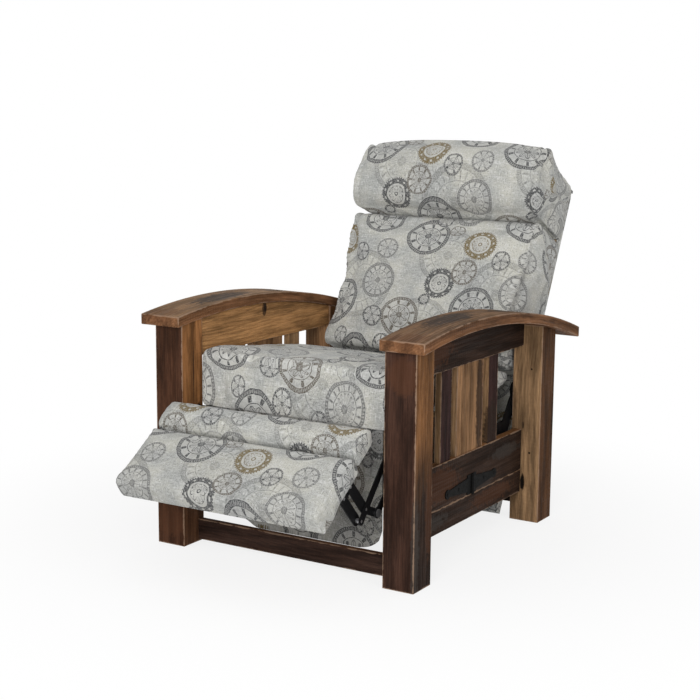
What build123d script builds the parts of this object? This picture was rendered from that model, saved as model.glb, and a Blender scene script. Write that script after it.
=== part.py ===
from build123d import *
from math import atan2, cos, degrees, hypot, radians, sin
import os

# A mission reclining armchair: a joined frame of old timber, a sprung seat held in it on
# two steel side plates, a back that tilts on them and a footrest on a folding linkage.
# Millimetres. +Z is up, the sitter faces -Y and +X is the sitter's left. The origin is on
# the floor under the middle of the whole chair, which stands half open.

os.makedirs("parts", exist_ok=True)

# Frame
frame_width = 808
frame_depth = 829
frame_mid_y = -20
post_width = 90
rail_thickness = 25
rail_setback = 59
lower_board_bottom = 86
lower_board_height = 66
upper_board_height = 121
top_rail_drop = 119.5
slat_thickness = 17
wide_slat_width = 154
narrow_slat_width = 56
slat_gap = 34
tenon_thickness = 11
tenon_length = 28
tenon_shoulder = 9
slat_tenon_length = 14
top_tenon_height = 38
wood_edge = 2

# Arms
arm_width = 127.5
arm_inner_overhang = 5
arm_thickness = 29
arm_front_overhang = 21
arm_rear_overhang = 96
arm_front_height = 638.5
arm_rear_fall = 81
arm_rise = 56.5
arm_edge = 3

# Stretchers
stretcher_thickness = 19
front_stretcher_setback = 74
front_stretcher_bottom = 6
front_stretcher_height = 58
rear_stretcher_setback = 3
rear_stretcher_bottom = 30
rear_stretcher_height = 46

# Strap hinges on the side boards
strap_half_length = 151
strap_height = 182
strap_mid_y = 8
strap_base_length = 25
strap_base_height = 55
strap_root_width = 38
strap_tip_width = 16
strap_finial_radius = 13
strap_thickness = 3
knuckle_radius = 5
knuckle_pin_radius = 2.6
knuckle_count = 3
strap_screw_radius = 4.5
strap_screw_rise = 1.2
strap_screw_shank_radius = 2
strap_screw_length = 12
strap_screw_shares = (0.5, 0.914)

# Clearances
joint_play = 0.2
pivot_play = 0.05
side_play = 0.3
soft_gap = 0.5
overrun = 5

# Linkage. Reach is measured forward from the middle of the posts' footprint.
steel_thickness = 3
layer_step = 5
plate_clearance = 8
main_pivot_reach = 337
main_pivot_height = 362
main_link_length = 195
main_link_angle = -49
main_link_width = 22
ottoman_link_length = 97
ottoman_link_angle = 47
ottoman_link_width = 29
guide_link_spacing = 34
crank_length = 55
crank_angle = 156
crank_width = 22
drive_pivot_reach = 270
drive_pivot_drop = 30
drive_link_width = 22
drive_eye_radius = 15
open_pivot_radius = 9.5
open_pivot_shift = 2.7
stud_radius = 4
stud_shoulder_radius = 6
stud_head_radius = 7
stud_head_thickness = 1.2
open_stud_head_radius = 11

# Side plates and what carries them
plate_foot_height = 205
plate_waist_height = 300
plate_foot_front_reach = 250
plate_foot_rear_reach = -280
plate_lobe_radius = 22
cleat_bottom = 200
cleat_height = 60
cleat_length = 600
cleat_screw_spread_share = 0.33
cleat_screw_rise_share = 0.25
plate_screw_spread_shares = (-0.3, -0.1, 0.15, 0.35)
plate_screw_rise_share = 0.75
tube_width = 25
tube_bottom = 243
front_tube_reach = 200
rear_tube_reach = -120
screw_radius = 2.5
screw_head_radius = 5.5
screw_head_thickness = 2.5
screw_bite = 12

# Seat
seat_side_gap = 9
seat_box_inset = 16
seat_board_thickness = 18
seat_box_bottom = 268
seat_box_front_reach = 331
seat_box_rear_reach = -170
seat_box_front_rise = 40
seat_box_rear_fall = 34
wire_radius = 1.9
spring_pitch = 24
spring_half_width = 25
spring_bend_share = 0.45
seat_spring_count = 5
seat_spring_spacing = 108
cushion_front_overhang = 14
cushion_rear_reach = -315
cushion_front_height = 540
cushion_crown_reach = 220
cushion_crown_rise = 5
cushion_rear_fall = 94
cushion_rear_drop = 50
cushion_edge = 22
cushion_side_inset = 8
apron_thickness = 4
apron_bottom = 75
apron_side_gap = 13
apron_corner_radius = 45
side_cover_thickness = 3
side_cover_front_reach = 318

# Footrest
footrest_angle = 34
footrest_length = 300
footrest_thickness = 47
footrest_board_thickness = 12
footrest_wrap = 13
footrest_pad_length = 206
footrest_roll_thickness = 50
footrest_edge = 16
footrest_side_inset = 3
bracket_drop = 25
bracket_reach = 169
bracket_eye_radius = 13
bracket_flange_width = 22
bracket_flare = 12

# Back
back_lean = 26.5
back_foot_reach = -294
back_foot_height = 18
back_length = 1003
back_cover_thickness = 3
back_frame_depth = 22
back_stile_width = 60
back_rail_height = 60
middle_rail_rise = 405
back_spring_count = 4
back_spring_spacing = 112
back_spring_end_share = 0.25
back_cushion_start = 413
back_cushion_end = 845
back_cushion_depth = 230
back_cushion_edge = 30
head_roll_end = 1061
head_roll_back_edge = 22
head_roll_shares = (0, 0.16, 0.5, 1)
head_roll_depths = (240, 284, 280, 222)
back_pivot_reach = -360
back_pivot_height = 380
back_bracket_half_width = 45
back_bracket_bite = 22

# Places worked out from the sizes above
front_y = frame_mid_y - frame_depth / 2
rear_y = frame_mid_y + frame_depth / 2
front_post_back = front_y + post_width
rear_post_front = rear_y - post_width
post_inner = frame_width / 2 - post_width
rail_outer = frame_width / 2 - rail_setback
rail_inner = rail_outer - rail_thickness
rail_middle = rail_outer - rail_thickness / 2
board_joint = lower_board_bottom + lower_board_height
upper_board_top = board_joint + upper_board_height
strap_y = frame_mid_y + strap_mid_y
arm_inner = post_inner - arm_inner_overhang
arm_rear_height = arm_front_height - arm_rear_fall
top_rail_bottom = arm_front_height - top_rail_drop
arm_front = front_y - arm_front_overhang
arm_rear = rear_y + arm_rear_overhang
plate_outer = post_inner - plate_clearance
seat_half = post_inner - seat_side_gap
seat_box_front_height = main_pivot_height + seat_box_front_rise
cushion_front_reach = seat_box_front_reach + cushion_front_overhang
cushion_crown_height = cushion_front_height + cushion_crown_rise
cushion_rear_height = cushion_front_height - cushion_rear_fall


def layer(number):
    """X of the inner face of one of the flat steel layers, counted inward from the plate."""
    return plate_outer - steel_thickness - number * layer_step


drive_layer, main_layer, ottoman_layer, bracket_layer, guide_layer = (layer(n) for n in range(1, 6))
seat_box_half = guide_layer - seat_box_inset
apron_half = guide_layer - apron_side_gap


def swing(start, length, angle):
    """The point at a length and angle from another, both as (reach, height)."""
    return (start[0] + length * cos(radians(angle)), start[1] + length * sin(radians(angle)))


def side(point):
    """A (reach, height) point as the (Y, Z) that sketches in side view use."""
    return (frame_mid_y - point[0], point[1])


# Pivots of the footrest linkage as it stands, half open
main_pivot = (main_pivot_reach, main_pivot_height)
drive_pivot = (drive_pivot_reach, main_pivot_height - drive_pivot_drop)
knee = swing(main_pivot, main_link_length, main_link_angle)
guide_knee = swing(knee, guide_link_spacing, main_link_angle)
toe = swing(knee, ottoman_link_length, ottoman_link_angle)
guide_toe = swing(toe, guide_link_spacing, main_link_angle)
crank_tip = swing(knee, crank_length, ottoman_link_angle + crank_angle)
drive_angle = degrees(atan2(crank_tip[1] - drive_pivot[1], crank_tip[0] - drive_pivot[0]))
open_eye = swing(crank_tip, open_pivot_shift, drive_angle + 90)
back_pivot = (back_pivot_reach, back_pivot_height)

# Planes of the footrest and of the back: X runs along the part, Y out of its padded face
footrest_foot = swing(toe, bracket_drop, 90 - footrest_angle)
footrest_tip = swing(footrest_foot, bracket_reach, -footrest_angle)
footrest_plane = Plane(
    origin=(0, *side(footrest_tip)),
    x_dir=(0, cos(radians(footrest_angle)), sin(radians(footrest_angle))),
    z_dir=(1, 0, 0),
)
back_plane = Plane(
    origin=(0, *side((back_foot_reach, back_foot_height))),
    x_dir=(0, sin(radians(back_lean)), cos(radians(back_lean))),
    z_dir=(1, 0, 0),
)

# The arm's top is one arc through its two ends; its underside is the arc below
arm_chord = hypot(arm_rear - arm_front, arm_rear_height - arm_front_height)
arm_radius = (arm_chord**2 / 4 + arm_rise**2) / (2 * arm_rise)
arm_tilt = atan2(arm_rear_height - arm_front_height, arm_rear - arm_front)
arm_centre = (
    (arm_front + arm_rear) / 2 + (arm_radius - arm_rise) * sin(arm_tilt),
    (arm_front_height + arm_rear_height) / 2 - (arm_radius - arm_rise) * cos(arm_tilt),
)
arm_under_radius = arm_radius - arm_thickness


def save(piece, name):
    """Name one finished sub-part and write it out."""
    piece.label = name
    export_step(piece, f"parts/{name}.step")


def save_pair(piece, name):
    """Write a sub-part made for the sitter's left, and its mirror image for the right."""
    save(piece, name + "_left")
    with BuildPart() as other:
        mirror(piece, about=Plane.YZ)
    save(other.part, name + "_right")


def block(low, high, mode=Mode.ADD):
    """A box from its low corner to its high corner, in the open part."""
    with Locations(tuple((a + b) / 2 for a, b in zip(low, high))):
        Box(*(b - a for a, b in zip(low, high)), mode=mode)


def rod(point, x_low, x_high, radius, mode=Mode.ADD):
    """A round bar along X between two X values, at a (Y, Z) point of the open part."""
    with BuildSketch(Plane.YZ.offset(x_low)) as end:
        with Locations(point):
            Circle(radius)
    extrude(end.sketch, amount=x_high - x_low, mode=mode)


def under_arm(y_low, y_high, z_low):
    """A side-view face from a level up to the arm's curved underside."""
    with Locations(((y_low + y_high) / 2, (z_low + arm_front_height) / 2)):
        Rectangle(y_high - y_low, arm_front_height - z_low)
    with Locations(arm_centre):
        Circle(arm_under_radius - joint_play, mode=Mode.INTERSECT)


# Tenons. Each is a box given by its ends, and its mortise is that box plus the joint's play.
def side_tenon(y_low, y_high, z_low, z_high):
    """The corners of a tenon in the middle of the side rails' thickness."""
    x_low = rail_middle - tenon_thickness / 2
    return (x_low, y_low, z_low), (x_low + tenon_thickness, y_high, z_high)


def mortise(low, high):
    """Cut the pocket for a tenon, with play all round, out of the open part."""
    block([v - joint_play for v in low], [v + joint_play for v in high], mode=Mode.SUBTRACT)


def rail_tenon_levels():
    """The bottom and top of each rail's tenon, by rail."""
    return {
        "lower": (lower_board_bottom + tenon_shoulder, board_joint - tenon_shoulder),
        "upper": (board_joint + tenon_shoulder, upper_board_top - tenon_shoulder),
        "top": (top_rail_bottom + tenon_shoulder, top_rail_bottom + tenon_shoulder + top_tenon_height),
    }


def rail_tenons(name):
    """The two tenons of a rail, as corner pairs."""
    z_low, z_high = rail_tenon_levels()[name]
    front = side_tenon(front_post_back - tenon_length, front_post_back, z_low, z_high)
    rear = side_tenon(rear_post_front, rear_post_front + tenon_length, z_low, z_high)
    return front, rear


slat_places = [
    (frame_mid_y, wide_slat_width),
    (frame_mid_y - (wide_slat_width + narrow_slat_width) / 2 - slat_gap, narrow_slat_width),
    (frame_mid_y + (wide_slat_width + narrow_slat_width) / 2 + slat_gap, narrow_slat_width),
]


def slat_tenons(middle, width):
    """A slat's lower and upper tenons, as corner pairs."""
    y_low = middle - width / 2 + tenon_shoulder
    y_high = middle + width / 2 - tenon_shoulder
    lower = side_tenon(y_low, y_high, upper_board_top - slat_tenon_length, upper_board_top)
    upper = side_tenon(y_low, y_high, top_rail_bottom, top_rail_bottom + slat_tenon_length)
    return lower, upper


def stretcher_tenon(y_face, bottom, height):
    """A stretcher's tenon at the sitter's left, from the Y of the stretcher's front face."""
    y_low = y_face + (stretcher_thickness - tenon_thickness) / 2 - joint_play
    low = (post_inner, y_low, bottom + tenon_shoulder)
    return low, (post_inner + tenon_length, y_low + tenon_thickness, bottom + height - tenon_shoulder)


front_stretcher_y = front_y + front_stretcher_setback - stretcher_thickness / 2
rear_stretcher_y = rear_y - rear_stretcher_setback - stretcher_thickness
front_tenon = stretcher_tenon(front_stretcher_y, front_stretcher_bottom, front_stretcher_height)
rear_tenon = stretcher_tenon(rear_stretcher_y, rear_stretcher_bottom, rear_stretcher_height)

# Posts
for name, y_low, end, stretcher in (
    ("front_post", front_y, 0, front_tenon),
    ("rear_post", rear_post_front, 1, rear_tenon),
):
    with BuildPart() as post:
        with BuildSketch(Plane.YZ.offset(post_inner)):
            under_arm(y_low, y_low + post_width, 0)
        extrude(amount=post_width)
        fillet(post.edges().filter_by(Axis.Z), radius=wood_edge)
        for rail in ("lower", "upper", "top"):
            mortise(*rail_tenons(rail)[end])
        mortise(*stretcher)
    save_pair(post.part, name)

# Arms
with BuildPart() as arm:
    with BuildSketch(Plane.YZ.offset(arm_inner)):
        with Locations(((arm_front + arm_rear) / 2, arm_front_height)):
            Rectangle(arm_rear - arm_front, arm_front_height)
        with Locations(arm_centre):
            Circle(arm_radius, mode=Mode.INTERSECT)
            Circle(arm_under_radius, mode=Mode.SUBTRACT)
    extrude(amount=arm_width)
    fillet(arm.edges(), radius=arm_edge)
save_pair(arm.part, "arm")

# Side rails and boards
with BuildPart() as top_rail:
    with BuildSketch(Plane.YZ.offset(rail_inner)):
        under_arm(front_post_back, rear_post_front, top_rail_bottom)
    extrude(amount=rail_thickness)
    fillet(top_rail.edges().filter_by(Axis.Y), radius=wood_edge)
    for tenon in rail_tenons("top"):
        block(*tenon)
    for place in slat_places:
        mortise(*slat_tenons(*place)[1])
save_pair(top_rail.part, "top_rail")

with BuildPart() as upper_board:
    block((rail_inner, front_post_back, board_joint), (rail_outer, rear_post_front, upper_board_top))
    fillet(upper_board.edges().filter_by(Axis.Y), radius=wood_edge)
    for tenon in rail_tenons("upper"):
        block(*tenon)
    for place in slat_places:
        mortise(*slat_tenons(*place)[0])
    strap_screw_points = [
        (strap_y + way * share * strap_half_length, strap_height)
        for way in (-1, 1)
        for share in strap_screw_shares
    ]
    hole = strap_screw_shank_radius + pivot_play
    for point in strap_screw_points:
        rod(point, rail_outer - strap_screw_length, rail_outer, hole, Mode.SUBTRACT)
    cleat_screw_points = [
        (
            frame_mid_y + step * cleat_length * cleat_screw_spread_share,
            cleat_bottom + cleat_height * cleat_screw_rise_share,
        )
        for step in (-1, 0, 1)
    ]
    for point in cleat_screw_points:
        rod(point, rail_inner, rail_inner + screw_bite, screw_radius + pivot_play, Mode.SUBTRACT)
save_pair(upper_board.part, "upper_side_board")

with BuildPart() as lower_board:
    block((rail_inner, front_post_back, lower_board_bottom), (rail_outer, rear_post_front, board_joint))
    fillet(lower_board.edges().filter_by(Axis.Y), radius=wood_edge)
    for tenon in rail_tenons("lower"):
        block(*tenon)
save_pair(lower_board.part, "lower_side_board")


# Slats
def slat(middle, width):
    """One upright slat with its two tenons, added to the open part."""
    x_low = rail_middle - slat_thickness / 2
    block(
        (x_low, middle - width / 2, upper_board_top),
        (x_low + slat_thickness, middle + width / 2, top_rail_bottom),
    )
    for tenon in slat_tenons(middle, width):
        block(*tenon)


with BuildPart() as wide_slat:
    slat(*slat_places[0])
save_pair(wide_slat.part, "wide_slat")

with BuildPart() as narrow_slats:
    for place in slat_places[1:]:
        slat(*place)
save_pair(narrow_slats.part, "narrow_slats")

# Stretchers across the front and the rear
for name, y_face, bottom, height, tenon in (
    ("front_stretcher", front_stretcher_y, front_stretcher_bottom, front_stretcher_height, front_tenon),
    ("rear_stretcher", rear_stretcher_y, rear_stretcher_bottom, rear_stretcher_height, rear_tenon),
):
    with BuildPart() as stretcher:
        block((-post_inner, y_face, bottom), (post_inner, y_face + stretcher_thickness, bottom + height))
        fillet(stretcher.edges().filter_by(Axis.X), radius=wood_edge)
        (x_low, y_low, z_low), (x_high, y_high, z_high) = tenon
        block((-x_high, y_low, z_low), (x_high, y_high, z_high))
    save(stretcher.part, name)


# Strap hinges, for show, across the side boards
def strap_leaf(way):
    """One leaf, with its knuckles, running to the rear (way 1) or to the front (way -1)."""
    root = strap_base_length
    tip = strap_half_length - strap_finial_radius
    with BuildSketch(Plane.YZ.offset(rail_outer)) as outline:
        with Locations((strap_y + way * (root + knuckle_radius) / 2, strap_height)):
            Rectangle(root - knuckle_radius, strap_base_height)
        Polygon(
            (strap_y + way * root, strap_height - strap_root_width / 2),
            (strap_y + way * tip, strap_height - strap_tip_width / 2),
            (strap_y + way * tip, strap_height + strap_tip_width / 2),
            (strap_y + way * root, strap_height + strap_root_width / 2),
            align=None,
        )
        with Locations((strap_y + way * tip, strap_height)):
            Circle(strap_finial_radius)
    extrude(outline.sketch, amount=strap_thickness)
    lift = strap_base_height / knuckle_count
    for level in (0,) if way > 0 else (-lift, lift):
        with BuildSketch(Plane.XY.offset(strap_height + level - lift / 2 + side_play / 2)) as knuckle:
            with Locations((rail_outer + knuckle_radius, strap_y)):
                Circle(knuckle_radius)
            with Locations((rail_outer + strap_thickness / 2, strap_y + way * knuckle_radius)):
                Rectangle(strap_thickness, 2 * knuckle_radius)
            with Locations((rail_outer + knuckle_radius, strap_y)):
                Circle(knuckle_pin_radius + pivot_play, mode=Mode.SUBTRACT)
        extrude(knuckle.sketch, amount=lift - side_play)
    for share in strap_screw_shares:
        point = (strap_y + way * share * strap_half_length, strap_height)
        hole = strap_screw_shank_radius + pivot_play
        rod(point, rail_outer, rail_outer + strap_thickness, hole, Mode.SUBTRACT)


with BuildPart() as front_leaf:
    strap_leaf(-1)
with BuildPart() as rear_leaf:
    strap_leaf(1)
with BuildPart() as strap_hinge:
    add(front_leaf.part)
    add(rear_leaf.part)
    with BuildSketch(Plane.XY.offset(strap_height - strap_base_height / 2 - knuckle_radius / 2)):
        with Locations((rail_outer + knuckle_radius, strap_y)):
            Circle(knuckle_pin_radius)
    extrude(amount=strap_base_height + knuckle_radius)
    for point in strap_screw_points:
        head = rail_outer + strap_thickness + pivot_play
        rod(point, rail_outer - strap_screw_length, head, strap_screw_shank_radius)
        rod(point, head, head + strap_screw_rise, strap_screw_radius)
save_pair(strap_hinge.part, "strap_hinge")

# Cleats on the side boards, which carry the steel side plates
plate_screw_points = [
    (frame_mid_y + share * cleat_length, cleat_bottom + cleat_height * plate_screw_rise_share)
    for share in plate_screw_spread_shares
]
with BuildPart() as cleat:
    y_low, y_high = frame_mid_y - cleat_length / 2, frame_mid_y + cleat_length / 2
    block((plate_outer, y_low, cleat_bottom), (rail_inner, y_high, cleat_bottom + cleat_height))
    for point in cleat_screw_points:
        rod(point, plate_outer, rail_inner, screw_radius + pivot_play, Mode.SUBTRACT)
        sink = plate_outer + screw_head_thickness
        rod(point, plate_outer, sink, screw_head_radius + pivot_play, Mode.SUBTRACT)
    for point in plate_screw_points:
        rod(point, plate_outer, plate_outer + screw_bite, screw_radius + pivot_play, Mode.SUBTRACT)
with BuildPart() as cleats:
    add(cleat.part)
    mirror(cleat.part, about=Plane.YZ)
save(cleats.part, "cleats")


# Screws that hold the cleats to the boards and the plates to the cleats
def side_screw(point, x_face, bite):
    """A screw driven outward from a face at the sitter's left, its head inside that face."""
    rod(point, x_face, x_face + bite, screw_radius)
    rod(point, x_face - screw_head_thickness, x_face, screw_head_radius)


with BuildPart() as side_screws:
    for point in cleat_screw_points:
        x_face = plate_outer + screw_head_thickness
        side_screw(point, x_face, rail_inner + screw_bite - x_face)
    for point in plate_screw_points:
        side_screw(point, plate_outer - steel_thickness, steel_thickness + screw_bite)
with BuildPart() as screws:
    add(side_screws.part)
    mirror(side_screws.part, about=Plane.YZ)
save(screws.part, "mechanism_screws")

# Steel side plates
plate_front_lobe = side(main_pivot)
plate_rear_lobe = side(back_pivot)
with BuildPart() as side_plate:
    with BuildSketch(Plane.YZ.offset(plate_outer - steel_thickness)):
        for lobe in (plate_front_lobe, side(drive_pivot), plate_rear_lobe):
            with Locations(lobe):
                Circle(plate_lobe_radius)
        foot_front, foot_rear = frame_mid_y - plate_foot_front_reach, frame_mid_y - plate_foot_rear_reach
        Polygon(
            (plate_front_lobe[0] - plate_lobe_radius, plate_front_lobe[1]),
            (foot_front, plate_foot_height),
            (foot_rear, plate_foot_height),
            (plate_rear_lobe[0] + plate_lobe_radius, plate_rear_lobe[1]),
            (plate_rear_lobe[0] - plate_lobe_radius, plate_rear_lobe[1]),
            (foot_rear, plate_waist_height),
            (foot_front, plate_waist_height),
            (plate_front_lobe[0] + plate_lobe_radius, plate_front_lobe[1]),
            align=None,
        )
        for lobe in (plate_front_lobe, side(drive_pivot), plate_rear_lobe):
            with Locations(lobe):
                Circle(stud_radius + pivot_play, mode=Mode.SUBTRACT)
        with Locations(*plate_screw_points):
            Circle(screw_radius + pivot_play, mode=Mode.SUBTRACT)
    extrude(amount=steel_thickness)
save_pair(side_plate.part, "side_plate")


# Pivot studs. A stud is fixed in one layer and holds another between a shoulder and a head.
def stud(point, fixed, held, head=stud_head_radius):
    """A stud from the layer that it is fixed in to the layer that turns on it."""
    point = side(point)
    if held < fixed:
        ends = [fixed + steel_thickness, fixed, held + steel_thickness + side_play, held - side_play]
        head_end = ends[3] - stud_head_thickness
    else:
        ends = [fixed, fixed + steel_thickness, held - side_play, held + steel_thickness + side_play]
        head_end = ends[3] + stud_head_thickness
    rod(point, *sorted((ends[0], ends[1])), stud_radius)
    rod(point, *sorted((ends[1], ends[2])), stud_shoulder_radius)
    rod(point, *sorted((ends[2], ends[3])), stud_radius)
    rod(point, *sorted((ends[3], head_end)), head)


with BuildPart() as plate_studs:
    stud(main_pivot, layer(0), main_layer)
    stud(drive_pivot, layer(0), drive_layer)
    stud(back_pivot, layer(0), drive_layer)
save_pair(plate_studs.part, "plate_studs")

with BuildPart() as main_link_studs:
    stud(knee, main_layer, ottoman_layer)
    stud(guide_knee, main_layer, guide_layer)
save_pair(main_link_studs.part, "main_link_studs")

with BuildPart() as ottoman_link_studs:
    stud(toe, ottoman_layer, bracket_layer)
    stud(crank_tip, ottoman_layer, drive_layer, open_stud_head_radius)
save_pair(ottoman_link_studs.part, "ottoman_link_studs")


# Links of the footrest linkage
def bar(first, last, width):
    """The outline of a flat bar with round ends, between two (reach, height) points."""
    first, last = side(first), side(last)
    middle = ((first[0] + last[0]) / 2, (first[1] + last[1]) / 2)
    SlotCenterPoint(middle, first, width)


def pivot_holes(*points):
    """Holes in a link's outline for studs."""
    with Locations(*(side(point) for point in points)):
        Circle(stud_radius + pivot_play, mode=Mode.SUBTRACT)


with BuildPart() as main_link:
    with BuildSketch(Plane.YZ.offset(main_layer)):
        bar(main_pivot, guide_knee, main_link_width)
        pivot_holes(main_pivot, knee, guide_knee)
    extrude(amount=steel_thickness)
save_pair(main_link.part, "main_link")

with BuildPart() as ottoman_link:
    with BuildSketch(Plane.YZ.offset(ottoman_layer)):
        bar(knee, toe, ottoman_link_width)
        bar(knee, crank_tip, crank_width)
        pivot_holes(knee, toe, crank_tip)
    extrude(amount=steel_thickness)
save_pair(ottoman_link.part, "ottoman_link")

with BuildPart() as guide_link:
    with BuildSketch(Plane.YZ.offset(guide_layer)):
        bar(guide_knee, guide_toe, ottoman_link_width)
        pivot_holes(guide_knee, guide_toe)
    extrude(amount=steel_thickness)
save_pair(guide_link.part, "guide_link")

with BuildPart() as drive_link:
    with BuildSketch(Plane.YZ.offset(drive_layer)):
        bar(drive_pivot, open_eye, drive_link_width)
        with Locations(side(open_eye)):
            Circle(drive_eye_radius)
            Circle(open_pivot_radius, mode=Mode.SUBTRACT)
        pivot_holes(drive_pivot)
    extrude(amount=steel_thickness)
save_pair(drive_link.part, "drive_link")

# Cross tubes between the side plates, which carry the seat box
with BuildPart() as cross_tubes:
    for reach in (front_tube_reach, rear_tube_reach):
        with BuildSketch(Plane.YZ.offset(-layer(0))):
            with Locations((frame_mid_y - reach, tube_bottom + tube_width / 2)):
                Rectangle(tube_width, tube_width)
                Rectangle(tube_width - steel_thickness, tube_width - steel_thickness, mode=Mode.SUBTRACT)
        extrude(amount=2 * layer(0))
save(cross_tubes.part, "cross_tubes")


# Seat box
def box_top(reach):
    """Height of the seat box's sloping top edge at a reach."""
    share = (seat_box_front_reach - reach) / (seat_box_front_reach - seat_box_rear_reach)
    return seat_box_front_height - share * seat_box_rear_fall


def box_board(front_reach, rear_reach, x_low, x_high):
    """A board of the seat box between two reaches, its top on the box's slope."""
    with BuildSketch(Plane.YZ.offset(x_low)) as outline:
        Polygon(
            side((front_reach, seat_box_bottom)),
            side((rear_reach, seat_box_bottom)),
            side((rear_reach, box_top(rear_reach))),
            side((front_reach, box_top(front_reach))),
            align=None,
        )
    extrude(outline.sketch, amount=x_high - x_low)


front_board_back = seat_box_front_reach - seat_board_thickness
rear_board_front = seat_box_rear_reach + seat_board_thickness
with BuildPart() as seat_box_ends:
    box_board(seat_box_front_reach, front_board_back, -seat_box_half, seat_box_half)
    box_board(rear_board_front, seat_box_rear_reach, -seat_box_half, seat_box_half)
save(seat_box_ends.part, "seat_box_ends")

with BuildPart() as seat_box_sides:
    for x_low in (-seat_box_half, seat_box_half - seat_board_thickness):
        box_board(front_board_back, rear_board_front, x_low, x_low + seat_board_thickness)
save(seat_box_sides.part, "seat_box_sides")


# Zigzag wire springs
def zigzag(plane, length):
    """One zigzag spring that starts at the plane's origin and runs along its X."""
    bars = int(length / spring_pitch)
    points = []
    for number in range(bars):
        way = -1 if number % 2 else 1
        points += [
            (number * spring_pitch, -way * spring_half_width),
            (number * spring_pitch, way * spring_half_width),
        ]
    with BuildPart() as spring:
        with BuildLine(plane) as wire:
            FilletPolyline(*points, radius=spring_pitch * spring_bend_share)
        with BuildSketch(Plane(origin=wire.line @ 0, z_dir=wire.line % 0)):
            Circle(wire_radius)
        sweep(path=wire.line)
    return spring.part


def spring_row(spring, count, spacing):
    """Copies of a spring side by side across the chair."""
    with BuildPart() as row:
        with GridLocations(spacing, 0, count, 1):
            add(spring)
    return row.part


seat_slope = atan2(seat_box_rear_fall, seat_box_front_reach - seat_box_rear_reach)
spring_lift = wire_radius + joint_play
seat_spring_reach = (seat_box_front_reach + front_board_back) / 2
seat_spring_height = box_top(seat_spring_reach) + spring_lift / cos(seat_slope)
seat_spring_plane = Plane(
    origin=(0, *side((seat_spring_reach, seat_spring_height))),
    x_dir=(0, cos(seat_slope), -sin(seat_slope)),
    z_dir=(0, sin(seat_slope), cos(seat_slope)),
)
seat_spring = zigzag(seat_spring_plane, front_board_back - rear_board_front + 2 * seat_board_thickness)
save(spring_row(seat_spring, seat_spring_count, seat_spring_spacing), "seat_springs")

# Seat cushion
cushion_lift = 2 * spring_lift + soft_gap


def cushion_bottom(reach):
    """A point of the cushion's underside, just above the springs."""
    return side((reach, box_top(reach) + cushion_lift))


with BuildPart() as seat_cushion:
    with BuildSketch(Plane.YZ) as profile:
        with BuildLine():
            Polyline(
                side((cushion_rear_reach, cushion_rear_height)),
                side((cushion_rear_reach, cushion_rear_height - cushion_rear_drop)),
                cushion_bottom(seat_box_rear_reach),
                cushion_bottom(cushion_front_reach),
                side((cushion_front_reach, cushion_front_height)),
            )
            ThreePointArc(
                side((cushion_front_reach, cushion_front_height)),
                side((cushion_crown_reach, cushion_crown_height)),
                side((cushion_rear_reach, cushion_rear_height)),
            )
        make_face()
    extrude(amount=seat_half - cushion_side_inset, both=True)
    front_edge = seat_cushion.edges().filter_by(Axis.X).group_by(Axis.Z)[-1].sort_by(Axis.Y)[0]
    fillet(front_edge, radius=cushion_edge)
save(seat_cushion.part, "seat_cushion")

# Padded panel that hangs from the front of the seat box
with BuildPart() as apron:
    apron_back = frame_mid_y - seat_box_front_reach
    with BuildSketch(Plane.XZ.offset(-apron_back)):
        with Locations((0, (apron_bottom + seat_box_front_height) / 2)):
            Rectangle(2 * apron_half, seat_box_front_height - apron_bottom)
    extrude(amount=apron_thickness)
    fillet(apron.edges().filter_by(Axis.Y).group_by(Axis.Z)[0], radius=apron_corner_radius)
save(apron.part, "apron")

# Covered panels beside the seat, outside the side plates
with BuildPart() as side_covers:
    low = plate_outer + side_play
    for x_low in (-low - side_cover_thickness, low):
        with BuildSketch(Plane.YZ.offset(x_low)):
            Polygon(
                side((side_cover_front_reach, cleat_bottom + cleat_height + soft_gap)),
                side((seat_box_rear_reach, cleat_bottom + cleat_height + soft_gap)),
                side((seat_box_rear_reach, box_top(seat_box_rear_reach))),
                side((side_cover_front_reach, box_top(side_cover_front_reach))),
                align=None,
            )
        extrude(amount=side_cover_thickness)
save(side_covers.part, "seat_side_covers")

# Footrest board with its padding
footrest_half = seat_half - footrest_side_inset
footrest_board_half = footrest_half - footrest_wrap
board_end = footrest_length - footrest_wrap
toe_station = bracket_reach
guide_station = bracket_reach - guide_link_spacing * cos(radians(footrest_angle + main_link_angle))
guide_drop = bracket_drop - guide_link_spacing * sin(radians(footrest_angle + main_link_angle))
flange_low = guide_station - bracket_eye_radius - bracket_flare
flange_high = toe_station + bracket_eye_radius + bracket_flare
bracket_screw_stations = (flange_low + bracket_flare, flange_high - bracket_flare)
flange_screw_x = bracket_layer - bracket_flange_width / 2
screw_hole = screw_radius + pivot_play


def bracket_screw(station, x, radius, y_low, y_high, mode=Mode.ADD):
    """A round bar square to the footrest board, at a station along it."""
    start = footrest_plane.from_local_coords((station, y_low, x))
    with BuildSketch(Plane(start, x_dir=(1, 0, 0), z_dir=footrest_plane.y_dir)) as end:
        Circle(radius)
    extrude(end.sketch, amount=y_high - y_low, mode=mode)


with BuildPart() as footrest_board:
    with BuildSketch(footrest_plane):
        with Locations(((footrest_wrap + board_end) / 2, footrest_board_thickness / 2)):
            Rectangle(board_end - footrest_wrap, footrest_board_thickness)
    extrude(amount=footrest_board_half, both=True)
    for station in bracket_screw_stations:
        for x in (-flange_screw_x, flange_screw_x):
            bracket_screw(station, x, screw_hole, 0, footrest_board_thickness, Mode.SUBTRACT)
save(footrest_board.part, "footrest_board")


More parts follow.
